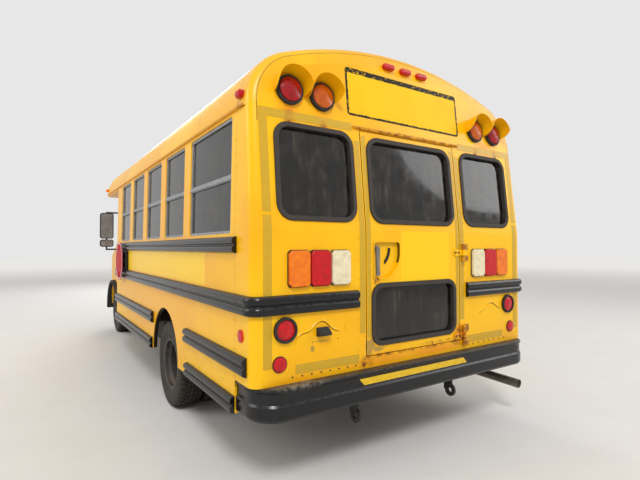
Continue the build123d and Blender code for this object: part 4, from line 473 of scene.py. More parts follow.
def moulded_lens(name, bright, deep):
    """Moulded polycarbonate lens: clear colour over fine prisms, with a milky bloom from the sun."""
    material, add, where = open_material(name)
    prisms = add("TexVoronoi", {"Vector": where, "Scale": 1 / 0.008}).outputs["Distance"]
    haze = add("TexNoise", (where, 0, 1 / 0.04, 4.0, 0.55))
    colour = tones(add, haze, 0.30, 0.75, bright, deep)
    colour = coat(add, colour, deep, (prisms, 0.3, 0.8), 0.25)
    # the four warning lamps under their hoods are painted darker: painted shade of the hoods
    x, _, z = add("SeparateXYZ", (where,)).outputs
    hooded = overlap(add, inside(add, z, 2.22, 2.50), (add("Math", (x,), **SIZE), 1.06, 1.04))
    hood_shaded_colour = add("Mix", {0: add("Math", (hooded, 0.55), **TIMES), 6: colour, 7: "#8A4A3C"}, blend_type="MULTIPLY",
                data_type="RGBA").outputs[2]
    return close_material(material, add, {
        "Base Color": hood_shaded_colour, "IOR": 1.58, "Specular IOR Level": 0.3, "Roughness": (haze, 0.2, 0.8, 0.16, 0.32),
        "Coat Weight": 0.1, "Coat Roughness": 0.10}, prisms, 0.0006, 0.3)


def headlamp_glass():
    """Moulded lamp glass: milky where it faces the tail, and fluted in front over a reflector painted into its colour
    as a painted reflection.
    """
    material, add, where = open_material("clear_polycarbonate")
    x, y, z = add("SeparateXYZ", (where,)).outputs
    haze = add("TexNoise", (where, 0, 1 / 0.04, 4.0, 0.55))
    milky = tones(add, haze, 0.30, 0.75, "#EEE2BE", "#D8CAA4")
    front = (y, -2.9, -3.0)
    # flutes 12 mm apart over a painted reflector: a painted reflection, bright in the middle, turning to painted
    # shade towards its rim
    flutes = lines(add, add("Math", (x, 5.0), **SHIFT), 0.012, 0.005)
    across = add("Math", (add("Math", (x,), **SIZE), HEADLAMP_X), **LESS)
    upright = add("Math", (z, HEADLAMP_Z), **LESS)
    squares = add("Math", (overlap(add, across, across), overlap(add, upright, upright)), **SHIFT)
    painted_reflector = tones(add, add("Math", (squares,), operation="SQRT"), 0.030, 0.095, "#F2F4F1", "#8E9699")
    painted_reflector = coat(add, painted_reflector, "#5E666A", flutes, 0.45)
    return close_material(material, add, {
        "Base Color": coat(add, milky, painted_reflector, front), "Roughness": (haze, 0.2, 0.8, 0.14, 0.28), "IOR": 1.58,
        "Specular IOR Level": 0.4}, overlap(add, flutes, front), 0.0010, 0.5)


def mirror_silver():
    """Silvered glass under a film of road dust that greys what it shows."""
    material, add, where = open_material("silvered_glass")
    haze = add("TexNoise", (where, 0, 1 / 0.05, 4.0, 0.55))
    return close_material(material, add, {
        "Base Color": tones(add, haze, 0.3, 0.8, "#93A0AC", "#7C8893"), "Roughness": (haze, 0.3, 0.8, 0.03, 0.12),
        "Metallic": 0.35})


def sign_red():
    """Retroreflective sheeting on aluminium, red with a fine cell pattern and a pale border."""
    material, add, where = open_material("reflective_sheeting_red")
    cells = add("TexVoronoi", {"Vector": where, "Scale": 1 / 0.004}).outputs["Distance"]
    fade = add("TexNoise", (where, 0, 1 / 0.08, 4.0, 0.55))
    colour = tones(add, fade, 0.3, 0.8, "#C2121C", "#A80F19")
    colour = coat(add, colour, "#6E0A10", (cells, 0.5, 0.9), 0.3)
    # white border of the octagon: the farthest of its four pairs of sides
    _, y, z = add("SeparateXYZ", (add("VectorMath", (where, (0, STOP_SIGN_Y, STOP_SIGN_Z)), **LESS),)).outputs
    across, upright = add("Math", (y,), **SIZE), add("Math", (z,), **SIZE)
    slanted = add("Math", (add("Math", (across, upright), **SHIFT), math.sqrt(0.5)), **TIMES)
    reach = add("Math", (add("Math", (across, upright), **MOST), slanted), **MOST)
    colour = coat(add, colour, "#E9E6DD", inside(add, reach, 0.209, 0.221, 0.001))
    return close_material(material, add, {
        "Base Color": colour, "Specular IOR Level": 0.2, "Roughness": (fade, 0.2, 0.8, 0.42, 0.58)},
        cells, 0.0003, 0.3)


def sign_yellow():
    """Bright yellow screen paint over the sign's place, inside a black border that has chipped."""
    material, add, where = open_material("screen_painted_sign")
    x, _, z = add("SeparateXYZ", (where,)).outputs
    chips = add("TexNoise", (where, 0, 1 / 0.016, 5.0, 0.7))
    large = add("TexNoise", (where, 0, 1 / 0.25, 3.0, 0.55))
    colour = tones(add, large, 0.3, 0.7, "#F0BC00", "#F6C402")
    wander = add("Math", (add("Math", (chips, 0.5), **LESS), 0.030), **TIMES)
    side = add("Math", (add("Math", (x,), **SIZE), wander), **SHIFT)
    top = add("Math", (z, wander), **SHIFT)
    rails = add("Math", ((top, 2.517, 2.519), (top, 2.250, 2.248)), **MOST)
    border = add("Math", ((side, 0.513, 0.515), rails), **MOST)
    colour = coat(add, colour, "#17110A", border, (chips, 0.64, 0.57))
    return close_material(material, add, {
        "Base Color": colour, "Specular IOR Level": 0.2, "Roughness": (chips, 0.2, 0.8, 0.44, 0.62)},
        add("Math", (chips, border), **PLUS), 0.0003, 0.4)


def conspicuity_tape():
    """Prismatic reflective sheeting, gone olive, with a grid of sealed cells about 9 mm apart."""
    material, add, where = open_material("prismatic_tape")
    x, _, z = add("SeparateXYZ", (where,)).outputs
    fade = add("TexNoise", (where, 0, 1 / 0.05, 4.0, 0.55))
    colour = tones(add, fade, 0.3, 0.8, [*settings().tape_colour, 1.0], "#DCA608")
    upright = lines(add, add("Math", (x, 5.0), **SHIFT), 0.009, 0.0016)
    grid = add("Math", (upright, lines(add, z, 0.009, 0.0016)), **MOST)
    colour = coat(add, colour, "#7D6A1C", grid, 0.34)
    specks = (add("TexNoise", (where, 0, 1 / 0.006, 2.0, 0.55)), 0.58, 0.68)
    colour = coat(add, colour, "#E8BC24", specks, 0.30)
    rust = bled_rust(add, where, add("TexNoise", (where, 0, 1 / 0.045, 6.0, 0.65)))
    colour = coat(add, colour, "#9A4A12", rust, 0.6)
    return close_material(material, add, {
        "Base Color": colour, "Roughness": (fade, 0.2, 0.8, 0.30, 0.50)}, grid, 0.0003, 0.4)


def rusty_enamel():
    """Body enamel on the drip rails and strap hinges, cracked and rusting through along its edges."""
    material, add, where = open_material("rusting_body_enamel")
    y = add("SeparateXYZ", (where,)).outputs["Y"]
    large = add("TexNoise", (where, 0, 1 / 0.06, 5.0, 0.65))
    small = add("TexNoise", (where, 0, 1 / 0.010, 4.0, 0.6))
    bare = overlap(add, (large, 0.40, 0.58), (small, 0.30, 0.55), (y, 3.05, 3.15, 0.35, 1.0))
    colour = tones(add, large, 0.3, 0.7, "#E09A08", "#F2B00C")
    colour = coat(add, colour, "#8A4715", bare)
    colour = coat(add, colour, "#4E2A12", (small, 0.6, 0.8), bare)
    rough = add("Math", ((small, 0.2, 0.8, 0.34, 0.50), add("Math", (bare, 0.3), **TIMES)), **PLUS)
    return close_material(material, add, {
        "Base Color": colour, "Roughness": rough}, add("Math", (small, bare), **PLUS), 0.0008, 0.5)


def bumper_stripe():
    """Yellow sheeting on the bumper, scuffed by dust."""
    material, add, where = open_material("bumper_sheeting")
    scuffs = stretched(add, where, (0.1, 1, 1), 0.006, 4.0)
    colour = tones(add, scuffs, 0.35, 0.7, "#E8BE0A", "#D3A80C")
    colour = coat(add, colour, "#6B5A20", (scuffs, 0.66, 0.72, 0.0, 0.6))
    return close_material(material, add, {
        "Base Color": colour, "Roughness": (scuffs, 0.2, 0.8, 0.35, 0.55)}, scuffs, 0.0002, 0.3)


def seat_vinyl():
    """Coated vinyl seat cover, dark green-grey, with an embossed leather grain about 4 mm across."""
    material, add, where = open_material("embossed_seat_vinyl")
    pebbles = add("TexVoronoi", {"Vector": where, "Scale": 1 / 0.004, "Randomness": 1.0},
                  feature="DISTANCE_TO_EDGE").outputs["Distance"]
    wear = add("TexNoise", (where, 0, 1 / 0.14, 5.0, 0.6))
    colour = tones(add, wear, 0.35, 0.7, "#2B3230", "#3A423F")
    colour = coat(add, colour, "#6A6C64", (wear, 0.62, 0.8), 0.4)
    return close_material(material, add, {
        "Base Color": colour, "Roughness": (wear, 0.2, 0.8, 0.42, 0.60)}, (pebbles, 0.0, 0.12), 0.0006, 0.5)


FINISHES = {
    "body_yellow": school_bus_enamel,
    "creased_yellow": lambda: school_bus_enamel("creased_school_bus_enamel", creased=True),
    "lever_grey": lambda: painted_steel("worn_grey_enamel", "#6A6762", "#87837C", 0.35, 0.35, 0.55),
    "roof_yellow": roof_enamel,
    "black_enamel": black_enamel,
    "tinted_glass": tinted_glass,
    "clear_glass": clear_glass,
    "sash_aluminium": sash_aluminium,
    "gasket_rubber": glazing_rubber,
    "floor_rubber": lambda: weathered_rubber("ribbed_floor_rubber", "#161514", "#2A2826", 0.08, 0.35),
    "tyre": lambda: weathered_rubber("tyre_rubber", "#191817", "#2C2A27", 0.07, 0.45),
    "rim_paint": lambda: painted_steel("dusty_rim_enamel", "#2A2725", "#4A443D", 0.45, 0.45, 0.65),
    "forged_steel": lambda: painted_steel("forged_steel", "#3A3633", "#57504A", 0.7, 0.45, 0.65, 0.6),
    "chassis_black": lambda: painted_steel("chassis_paint", "#1B1A19", "#34302B", 0.55, 0.50, 0.72),
    "engine_iron": lambda: painted_steel("cast_iron", "#3B3A38", "#55514B", 0.5, 0.55, 0.75, 0.5),
    "exhaust_steel": lambda: painted_steel("aluminised_steel", "#6E665C", "#8C8377", 0.75, 0.40, 0.62, 0.7),
    "lens_red": lambda: moulded_lens("red_polycarbonate", "#D60412", "#AA020E"),
    "lens_amber": lambda: moulded_lens("amber_polycarbonate", "#FA8406", "#DE6404"),
    "lens_clear": headlamp_glass,
    "black_plastic": lambda: weathered_rubber("moulded_black_abs", "#1A1A1B", "#2C2C2D", 0.05, 0.18),
    "mirror_silver": mirror_silver,
    "sign_red": sign_red,
    "sign_yellow": sign_yellow,
    "tape": conspicuity_tape,
    "rusty_yellow": rusty_enamel,
    "bumper_stripe": bumper_stripe,
    "dark_fixings": lambda: painted_steel("zinc_fixings", "#2E2820", "#5A4A34", 0.8, 0.45, 0.65, 0.3),
    "seat_vinyl": seat_vinyl,
}
MATERIALS = {}


def finish_of(name):
    """The material of that finish, made once."""
    if name not in MATERIALS:
        MATERIALS[name] = FINISHES[name]()
    return MATERIALS[name]


# Modelling helpers: what a hand at the screen would do, told in code

def clear_selection():
    """Leave edit mode with nothing selected."""
    if bpy.context.object and bpy.context.object.mode != "OBJECT":
        bpy.ops.object.mode_set(mode="OBJECT")
    bpy.ops.object.select_all(action="DESELECT")


def pick(piece):
    """Select one piece alone, ready for the next tool."""
    clear_selection()
    piece.select_set(True)
    bpy.context.view_layer.objects.active = piece


def start_block(name, centre, size):
    """A block at its place and size, ready to be shaped."""
    clear_selection()
    bpy.ops.mesh.primitive_cube_add(size=1.0, location=centre, scale=size)
    bpy.ops.object.transform_apply(location=True, rotation=True, scale=True)
    bpy.context.object.name = name
    return bpy.context.object


def start_disc(name, centre, radius, depth, axis, sides=32):
    """A round bar at its place and size, along one axis, ready to be shaped."""
    clear_selection()
    turn = {"X": (0, math.pi / 2, 0), "Y": (math.pi / 2, 0, 0), "Z": (0, 0, 0)}[axis]
    bpy.ops.mesh.primitive_cylinder_add(vertices=sides, radius=radius, depth=depth, location=centre, rotation=turn)
    bpy.ops.object.transform_apply(location=True, rotation=True, scale=True)
    bpy.context.object.name = name
    return bpy.context.object


def shape(piece, kind, test, *steps):
    """Select the vertices, edges or faces that pass a test, and run edit-mode steps on them."""
    bpy.context.view_layer.objects.active = piece
    bpy.ops.object.mode_set(mode="EDIT")
    bpy.ops.mesh.select_mode(type=kind)
    bpy.ops.mesh.select_all(action="DESELECT")
    sketch = bmesh.from_edit_mesh(piece.data)
    group = {"VERT": sketch.verts, "EDGE": sketch.edges, "FACE": sketch.faces}[kind]
    for item in group:
        if test(item):
            item.select_set(True)
    bmesh.update_edit_mesh(piece.data)
    for step, values in steps:
        step(**values)
    bpy.ops.object.mode_set(mode="OBJECT")


def start_line(name, points):
    """A row of points joined by edges, in edit mode and ready to be extruded or spun."""
    mesh = bpy.data.meshes.new(name)
    mesh.from_pydata(points, [(i, i + 1) for i in range(len(points) - 1)], [])
    row = bpy.data.objects.new(name, mesh)
    bpy.context.collection.objects.link(row)
    pick(row)
    bpy.ops.object.mode_set(mode="EDIT")
    bpy.ops.mesh.select_all(action="SELECT")
    return row


def finish_with(piece, kind, **values):
    """Give a piece one modifier with its settings, and apply it."""
    modifier = piece.modifiers.new(kind.lower(), kind)
    for name, value in values.items():
        setattr(modifier, name, value)
    bpy.ops.object.modifier_apply(modifier=modifier.name)


def joined(name, pieces):
    """Several pieces made into one."""
    clear_selection()
    for each in pieces:
        each.select_set(True)
    bpy.context.view_layer.objects.active = pieces[0]
    bpy.ops.object.join()
    bpy.context.object.name = name
    return bpy.context.object


def copies(piece, places):
    """Copies of a piece, each with its own mesh, moved or turned by a matrix, joined into one."""
    made = []
    for matrix in places:
        twin = piece.copy()
        twin.data = piece.data.copy()
        twin.data.transform(matrix)
        if matrix.determinant() < 0:
            twin.data.flip_normals()
        bpy.context.collection.objects.link(twin)
        made.append(twin)
    name = piece.name
    bpy.data.objects.remove(piece)
    return joined(name, made)


def deliver(piece, body, slot, finish=None, angle=35.0):
    """Shade, paint and hang a finished piece on its body."""
    pick(piece)
    bpy.ops.object.shade_smooth_by_angle(angle=math.radians(angle))
    piece.data.materials.clear()
    piece.data.materials.append(finish_of(finish or slot))
    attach(piece, body)


def tail_y(z):
    """Where the outer skin of the rear wall stands at height z."""
    return REAR_Y - REAR_LEAN * max(z - BELT_Z, 0.0)


def on_tail(x, z, proud=0.0):
    """Matrix that stands a piece, made facing +Y at the origin, on the rear wall."""
    lean = math.atan(REAR_LEAN) if z > BELT_Z else 0.0
    turn = Matrix.Rotation(lean, 4, "X")
    return Matrix.Translation((x, tail_y(z), z)) @ turn @ Matrix.Translation((0, proud, 0))


def tail_sheet(name, x0, z0, x1, z1, thick=0.0012, radius=0.004):
    """A thin sheet with rounded corners on the rear wall, bent where the wall starts to lean."""
    sheet = start_block(name, ((x0 + x1) / 2, thick / 2, (z0 + z1) / 2), (x1 - x0, thick, z1 - z0))
    shape(sheet, "EDGE", lambda e: abs(e.verts[0].co.y - e.verts[1].co.y) > thick / 2,
          (bpy.ops.mesh.bevel, {"offset": radius, "segments": 3}))
    if z0 < BELT_Z < z1:
        shape(sheet, "FACE", lambda f: True,
              (bpy.ops.mesh.bisect, {"plane_co": (0, 0, BELT_Z), "plane_no": (0, 0, 1)}))
    for vertex in sheet.data.vertices:
        vertex.co.y += tail_y(vertex.co.z)
    return sheet


def tail_crease(name, route, width, height):
    """A ridge that a knock raised in the rear panel, along a route of x and z, dying out at both ends."""
    sheet = 0.0004
    ridge = start_line(name, [(x, tail_y(z) - sheet, z - width / 2) for x, z in route])
    for _ in range(4):
        bpy.ops.mesh.extrude_region_move(TRANSFORM_OT_translate={"value": (0, 0, width / 4)})
    bpy.ops.mesh.select_all(action="SELECT")
    bpy.ops.mesh.normals_make_consistent(inside=False)
    bpy.ops.object.mode_set(mode="OBJECT")
    count = len(route)
    for index, vertex in enumerate(ridge.data.vertices):
        row, along = divmod(index, count)
        share = math.sin(math.pi * along / (count - 1)) ** 0.6
        vertex.co.y += height * share * (0.0, 0.55, 1.0, 0.35, 0.0)[row]
    finish_with(ridge, "SOLIDIFY", thickness=sheet, offset=0.0)
    finish_with(ridge, "SUBSURF", levels=1, render_levels=1)
    return ridge


# Settings that a user would change

class BusSettings(bpy.types.PropertyGroup):
    """Sizes and looks of the dressed bus."""

    cushion_pressure: bpy.props.FloatProperty(
        name="Cushion pressure", description="How hard the foam fills the seat covers", default=4.0, min=0.0)
    tread_depth: bpy.props.FloatProperty(
        name="Tread depth", description="Depth of the cuts in the tyre treads", default=0.008, unit="LENGTH")
    rivet_radius: bpy.props.FloatProperty(
        name="Rivet radius", description="Radius of the body rivets", default=0.0045, unit="LENGTH")
    tape_width: bpy.props.FloatProperty(
        name="Tape width", description="Width of the reflective tape", default=0.052, unit="LENGTH")
    tape_colour: bpy.props.FloatVectorProperty(
        name="Tape colour", description="Colour of the reflective tape", default=linear("#CFA514")[:3],
        subtype="COLOR", size=3)
    floor_colour: bpy.props.FloatVectorProperty(
        name="Floor colour", description="Colour of the studio floor", default=linear("#E4E2DE")[:3],
        subtype="COLOR", size=3)


def settings():
    """The settings of this scene."""
    return bpy.context.scene.bus_settings


# Operators: the finishes of the construction model, then each group of pieces, then the stage

class BUS_OT_finishes(bpy.types.Operator):
    """Give every node of the construction model the finish of its slot."""
    bl_idname = "bus.finishes"
    bl_label = "Finish the body"

    def execute(self, context):
        slots = {part["node"]: part["material_slot"] for part in frame["record"]["subparts"]}
        other = {"roof_shell": "roof_yellow", "windscreen": "clear_glass", "driver_door_glass": "clear_glass",
                 "hinge_straps": "rusty_yellow", "drip_rails": "rusty_yellow", "door_handle": "lever_grey"}
        for name, node in frame["nodes"].items():
            node.data.materials.clear()
            node.data.materials.append(finish_of(other.get(name, slots[name])))
        return {"FINISHED"}


def bench_pad(name, centre, size, puff):
    """A foam pad in a sewn cover: a soft block that cloth pressure swells by up to puff, with sewn channels."""
    pad = start_block(name, (0, 0, 0), [side - 0.8 * puff for side in size])
    shape(pad, "EDGE", lambda e: True,
          (bpy.ops.mesh.bevel, {"offset": min(size) * 0.28, "segments": 3, "profile": 0.6}))
    pick(pad)
    finish_with(pad, "REMESH", mode="VOXEL", voxel_size=0.022)
    before = [v.co.copy() for v in pad.data.vertices]
    cloth = pad.modifiers.new("fill", "CLOTH")
    cloth.settings.use_pressure = True
    cloth.settings.uniform_pressure_force = settings().cushion_pressure
    cloth.settings.effector_weights.gravity = 0.0
    cloth.settings.tension_stiffness = 25
    cloth.settings.shear_stiffness = 15
    cloth.point_cache.frame_end = frames = 20
    for step in range(1, frames + 1):
        bpy.context.scene.frame_set(step)
    bpy.ops.object.modifier_apply(modifier="fill")
    bpy.context.scene.frame_set(1)
    for vertex, start in zip(pad.data.vertices, before):
        way = vertex.co - start
        if way.length > puff:
            vertex.co = start + way.normalized() * puff
    finish_with(pad, "SUBSURF", levels=1, render_levels=1)
    # channels sewn across the pad
    pitch, reach, deep = 0.16, 0.014, 0.10
    long_axis = 0 if size[0] >= size[1] else 1
    face_axis = min(range(3), key=lambda i: size[i])
    for vertex in pad.data.vertices:
        away = abs(((vertex.co[long_axis] / pitch) % 1.0) - 0.5) * pitch
        if away < reach:
            vertex.co[face_axis] *= 1 - deep * (1 - away / reach)
    pad.data.transform(Matrix.Translation(centre))
    return pad


class BUS_OT_benches(bpy.types.Operator):
    """Two rows of vinyl benches and the driver's seat, each pad filled and sewn."""
    bl_idname = "bus.benches"
    bl_label = "Upholster the seats"

    def execute(self, context):
        seat = bench_pad("bench_seats", (0, 0, 0), (BENCH_W, 0.380, 0.110), 0.012)
        back = bench_pad("bench_backs", (0, 0, 0), (BENCH_W, 0.080, 0.520), 0.012)
        rows = [(side * BENCH_X, FIRST_ROW_Y - row * ROW_PITCH) for row in range(ROWS) for side in (-1, 1)]
        seats = copies(seat, [Matrix.Translation((x, y, 1.095)) for x, y in rows])
        backs = copies(back, [Matrix.Translation((x, y + 0.235, 1.430)) for x, y in rows])
        driver_seat = bench_pad("driver_seat_pad", (DRIVER_X, DRIVER_Y, 1.080), (0.500, 0.480, 0.120), 0.014)
        driver_back = bench_pad("driver_back_pad", (DRIVER_X, DRIVER_Y + 0.290, 1.410), (0.500, 0.110, 0.640), 0.014)
        for pad, fill in ((seats, 0.7), (backs, 0.7), (driver_seat, 0.8), (driver_back, 0.8)):
            deliver(pad, "bus", "seat_vinyl", angle=60)
        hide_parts("seat_cushions")
        return {"FINISHED"}


def tread_tyre(name):
    """One road tyre about the X axis at the origin: spun profile with grooves, then cross cuts."""
    half, steps = 0.1115, 144
    depth = settings().tread_depth
    # x, radius: from the bead, over the shoulder and across one half of the tread
    profile = [(-0.084, 0.2065), (-0.089, 0.212), (-0.0905, 0.225), (-0.100, 0.245), (-0.108, 0.268), (-half, 0.292),
               (-0.1105, 0.312), (-0.1065, 0.334), (-0.1045, 0.340), (-0.101, 0.3545), (-0.090, 0.3672),
               (-0.078, 0.3700), (-0.060, 0.3707), (-0.059, 0.3707 - depth), (-0.049, 0.3707 - depth),
               (-0.048, 0.3711), (-0.020, 0.3714), (-0.019, 0.3714 - depth), (-0.009, 0.3714 - depth),
               (-0.008, 0.3715)]
    profile += [(-x, r) for x, r in reversed(profile)]
    tyre = start_line(name, [(x, 0, r) for x, r in profile])
    bpy.ops.mesh.spin(steps=steps, angle=2 * math.pi, center=(0, 0, 0), axis=(1, 0, 0))
    bpy.ops.mesh.select_all(action="SELECT")
    bpy.ops.mesh.remove_doubles(threshold=0.0001)
    bpy.ops.mesh.normals_make_consistent(inside=False)
    bpy.ops.object.mode_set(mode="OBJECT")

    def cross_cut(face):
        middle = face.calc_center_median()
        radius = math.hypot(middle.y, middle.z)
        step = round(math.atan2(middle.z, middle.y) * steps / (2 * math.pi) + 0.5)
        ribs = 0.061 < abs(middle.x) < 0.102 and radius > 0.356
        inner = 0.021 < abs(middle.x) < 0.047 and radius > 0.370
        return (ribs and step % 3 == 0) or (inner and step % 3 == 1)

    shape(tyre, "FACE", cross_cut,
          (bpy.ops.mesh.extrude_region_shrink_fatten, {"TRANSFORM_OT_shrink_fatten": {"value": -depth * 0.7}}))
    return tyre


class BUS_OT_tyres(bpy.types.Operator):
    """Road tyres with grooved and cut treads, two in front and four behind."""
    bl_idname = "bus.tyres"
    bl_label = "Mould the tyres"

    def execute(self, context):
        # node, middle planes x, axle y
        wheels = (("front_tyre_left", (FRONT_WHEEL_X,), FRONT_AXLE_Y),
                  ("front_tyre_right", (-FRONT_WHEEL_X,), FRONT_AXLE_Y),
                  ("rear_tyres_left", (REAR_OUTER_X, REAR_INNER_X), REAR_AXLE_Y),
                  ("rear_tyres_right", (-REAR_OUTER_X, -REAR_INNER_X), REAR_AXLE_Y))
        for node, planes, y in wheels:
            tyre = tread_tyre("tread_" + node)
            tyre = copies(tyre, [Matrix.Translation((x, y, AXLE_Z)) for x in planes])
            deliver(tyre, body_of(frame["nodes"][node])[0], "tyre", angle=28)
            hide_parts(node)
        return {"FINISHED"}


class BUS_OT_wheel_nuts(bpy.types.Operator):
    """Hexagon nuts with washers round the hubs."""
    bl_idname = "bus.wheel_nuts"
    bl_label = "Fit the wheel nuts"

    def execute(self, context):
        circle, nuts = 0.085, 8
        # node, face x, way out, axle y
        hubs = (("front_rim_left", 0.9235, 1, FRONT_AXLE_Y), ("front_rim_right", -0.9235, -1, FRONT_AXLE_Y),
                ("rear_rims_left", 1.0075, 1, REAR_AXLE_Y), ("rear_rims_right", -1.0075, -1, REAR_AXLE_Y))
        for node, face, way, y in hubs:
            nut = start_disc("nuts_" + node, (0, 0, 0), 0.0145, 0.018, "X", 6)
            shape(nut, "FACE", lambda f: f.normal.x * way > 0.9,
                  (bpy.ops.mesh.inset, {"thickness": 0.0030}),
                  (bpy.ops.transform.translate, {"value": (0.0016 * way, 0, 0)}),
                  (bpy.ops.mesh.inset, {"thickness": 0.0030}),
                  (bpy.ops.mesh.extrude_region_move, {"TRANSFORM_OT_translate": {"value": (0.012 * way, 0, 0)}}))
            hub = Matrix.Translation((face, y, AXLE_Z))
            turns = [Matrix.Rotation(2 * math.pi * (n + 0.5) / nuts, 4, "X") for n in range(nuts)]
            nut = copies(nut, [hub @ turn @ Matrix.Translation((0.008 * way, circle, 0)) for turn in turns])
            deliver(nut, body_of(frame["nodes"][node])[0], "forged_steel")
        return {"FINISHED"}


def dome_rivet(name, radius):
    """A round rivet head that faces +Y."""
    rivet = start_disc(name, (0, radius * 0.15, 0), radius, radius * 0.5, "Y", 10)
    shape(rivet, "FACE", lambda f: f.normal.y > 0.9,
          (bpy.ops.mesh.inset, {"thickness": radius * 0.35}),
          (bpy.ops.transform.translate, {"value": (0, radius * 0.22, 0)}))
    return rivet


class BUS_OT_rivets(bpy.types.Operator):
    """Rows of rivets along the seams of the tail and the flanks."""
    bl_idname = "bus.rivets"
    bl_label = "Drive the rivets"

    def execute(self, context):
        radius = settings().rivet_radius
        # up both seams of the tail beside the door
        places = [on_tail(x, 0.70 + 0.062 * n) for x in (0.505, -0.505) for n in range(23)]
        deliver(copies(dome_rivet("tail_rivets", radius), places), "bus", "body_yellow", angle=50)
        # along the skirt of both lower rear panels
        places = [on_tail(side * (0.975 - 0.064 * n), 0.671) for side in (-1, 1) for n in range(8)]
        deliver(copies(dome_rivet("skirt_rivets", radius * 1.2), places), "bus", "forged_steel", "dark_fixings",
                angle=50)
        # up the flanks, on both sides of the corner panel's lapped seam
        places = []
        for side in (-1, 1):
            out = Matrix.Rotation(-side * math.pi / 2, 4, "Z")
            for y in (3.040, 3.072):
                for z in (0.66 + 0.080 * n for n in range(19)):
                    lean = 0.02 * max(z - BELT_Z, 0)
                    places.append(Matrix.Translation((side * (HALF_W - lean), y, z)) @ out)
        deliver(copies(dome_rivet("flank_rivets", radius), places), "bus", "body_yellow", angle=50)
        return {"FINISHED"}


class BUS_OT_tail_sheets(bpy.types.Operator):
    """The sign's bare place, the reflective tape round the tail and the stripe on the bumper."""
    bl_idname = "bus.tail_sheets"
    bl_label = "Lay the tape and the sign"

    def execute(self, context):
        width = settings().tape_width
        sign = tail_sheet("sign_panel", -0.530, 2.235, 0.530, 2.553, thick=0.0016, radius=0.022)
        deliver(sign, "bus", "body_yellow", "sign_yellow")
        # x and z of one corner, x and z of the other, on the left half of the wall
        wall_tape = [(1.103, 0.735, 1.103 + width, 1.572), (1.103, 1.590, 1.103 + width, 2.130),
                     (0.504, 2.130, 1.103 + width, 2.130 + width),
                     (0.500, 0.684, 0.955, 0.684 + width), (0.451, 0.86, 0.493, 2.070)]
        strips = []
        for x0, z0, x1, z1 in wall_tape:
            strips.append(tail_sheet("strip", x0, z0, x1, z1))
            strips.append(tail_sheet("strip", -x1, z0, -x0, z1))
        deliver(joined("wall_tape", strips), "bus", "body_yellow", "tape")
        strips = [tail_sheet("strip", x0, z0, x1, z1)
                  for x0, z0, x1, z1 in ((0.403, 0.83, 0.434, 2.110), (-0.434, 0.83, -0.403, 2.110))]
        deliver(joined("door_tape", strips), "emergency_door", "body_yellow", "tape")
        # bumper stripe with slanted ends, in the recess under the rolled lip
        face_y = REAR_Y + 0.062
        stripe = start_block("bumper_stripe", (0.055, face_y + 0.0006, 0.583), (0.950, 0.0012, 0.040))
        shape(stripe, "EDGE", lambda e: abs(e.verts[0].co.y - e.verts[1].co.y) > 0.0006,
              (bpy.ops.mesh.bevel, {"offset": 0.003, "segments": 2}))
        for vertex in stripe.data.vertices:
            vertex.co.x += (vertex.co.z - 0.583) * 0.9
        deliver(stripe, "bus", "black_enamel", "bumper_stripe")
        return {"FINISHED"}


class BUS_OT_dents(bpy.types.Operator):
    """Creases that knocks left in the two lower rear panels."""
    bl_idname = "bus.dents"
    bl_label = "Dent the tail"

    def execute(self, context):
        left = ((0.962, 0.806), (0.958, 0.837), (0.950, 0.868), (0.942, 0.891), (0.919, 0.908), (0.896, 0.912),
                (0.872, 0.914), (0.850, 0.926), (0.832, 0.944), (0.812, 0.960), (0.790, 0.969), (0.768, 0.968),
                (0.748, 0.959), (0.722, 0.934), (0.698, 0.913), (0.665, 0.902), (0.632, 0.897))
        right = ((-0.655, 0.890), (-0.686, 0.902), (-0.716, 0.912), (-0.742, 0.932), (-0.766, 0.951), (-0.792, 0.963),
                 (-0.817, 0.967), (-0.850, 0.952), (-0.880, 0.931), (-0.912, 0.914), (-0.945, 0.902))
        ridges = [tail_crease("ridge", route, 0.020, 0.0085) for route in (left, right)]
        ding = dome_rivet("ding", 0.026)
        ding.data.transform(on_tail(0.587, 0.911) @ Matrix.Diagonal((1, 0.14, 1, 1)))
        deliver(joined("tail_creases", [*ridges, ding]), "bus", "body_yellow", "creased_yellow", angle=80)
        return {"FINISHED"}


class BUS_OT_fixings(bpy.types.Operator):
    """Screws of the lamp modules and bolts of the strap hinges."""
    bl_idname = "bus.fixings"
    bl_label = "Drive the screws"

    def execute(self, context):
        # four screws in each of the three lamp modules on both sides
        first, cell, high = 0.574, 0.433 / 3, 1.274
        middles = [side * (first + (order + 0.5) * cell) for side in (-1, 1) for order in range(3)]
        screws = [on_tail(x + across * (cell / 2 - 0.009), high + up * 0.097, 0.0060)
                  for x in middles for across in (-1, 1) for up in (-1, 1)]
        hinges = [on_tail(-0.505, z, 0.0070) for z in (1.311, 1.395, 0.695, 0.795)]
        straps = [on_tail(x, z, 0.0074) for z in (1.353, 0.745) for x in (-0.393, -0.428)]
        for name, radius, places, body in (("module_screws", 0.0055, screws, "bus"),
                                           ("hinge_bolts", 0.0085, hinges, "bus"),
                                           ("strap_bolts", 0.0085, straps, "emergency_door")):
            deliver(copies(dome_rivet(name, radius), places), body, "forged_steel", "dark_fixings", angle=50)
        return {"FINISHED"}


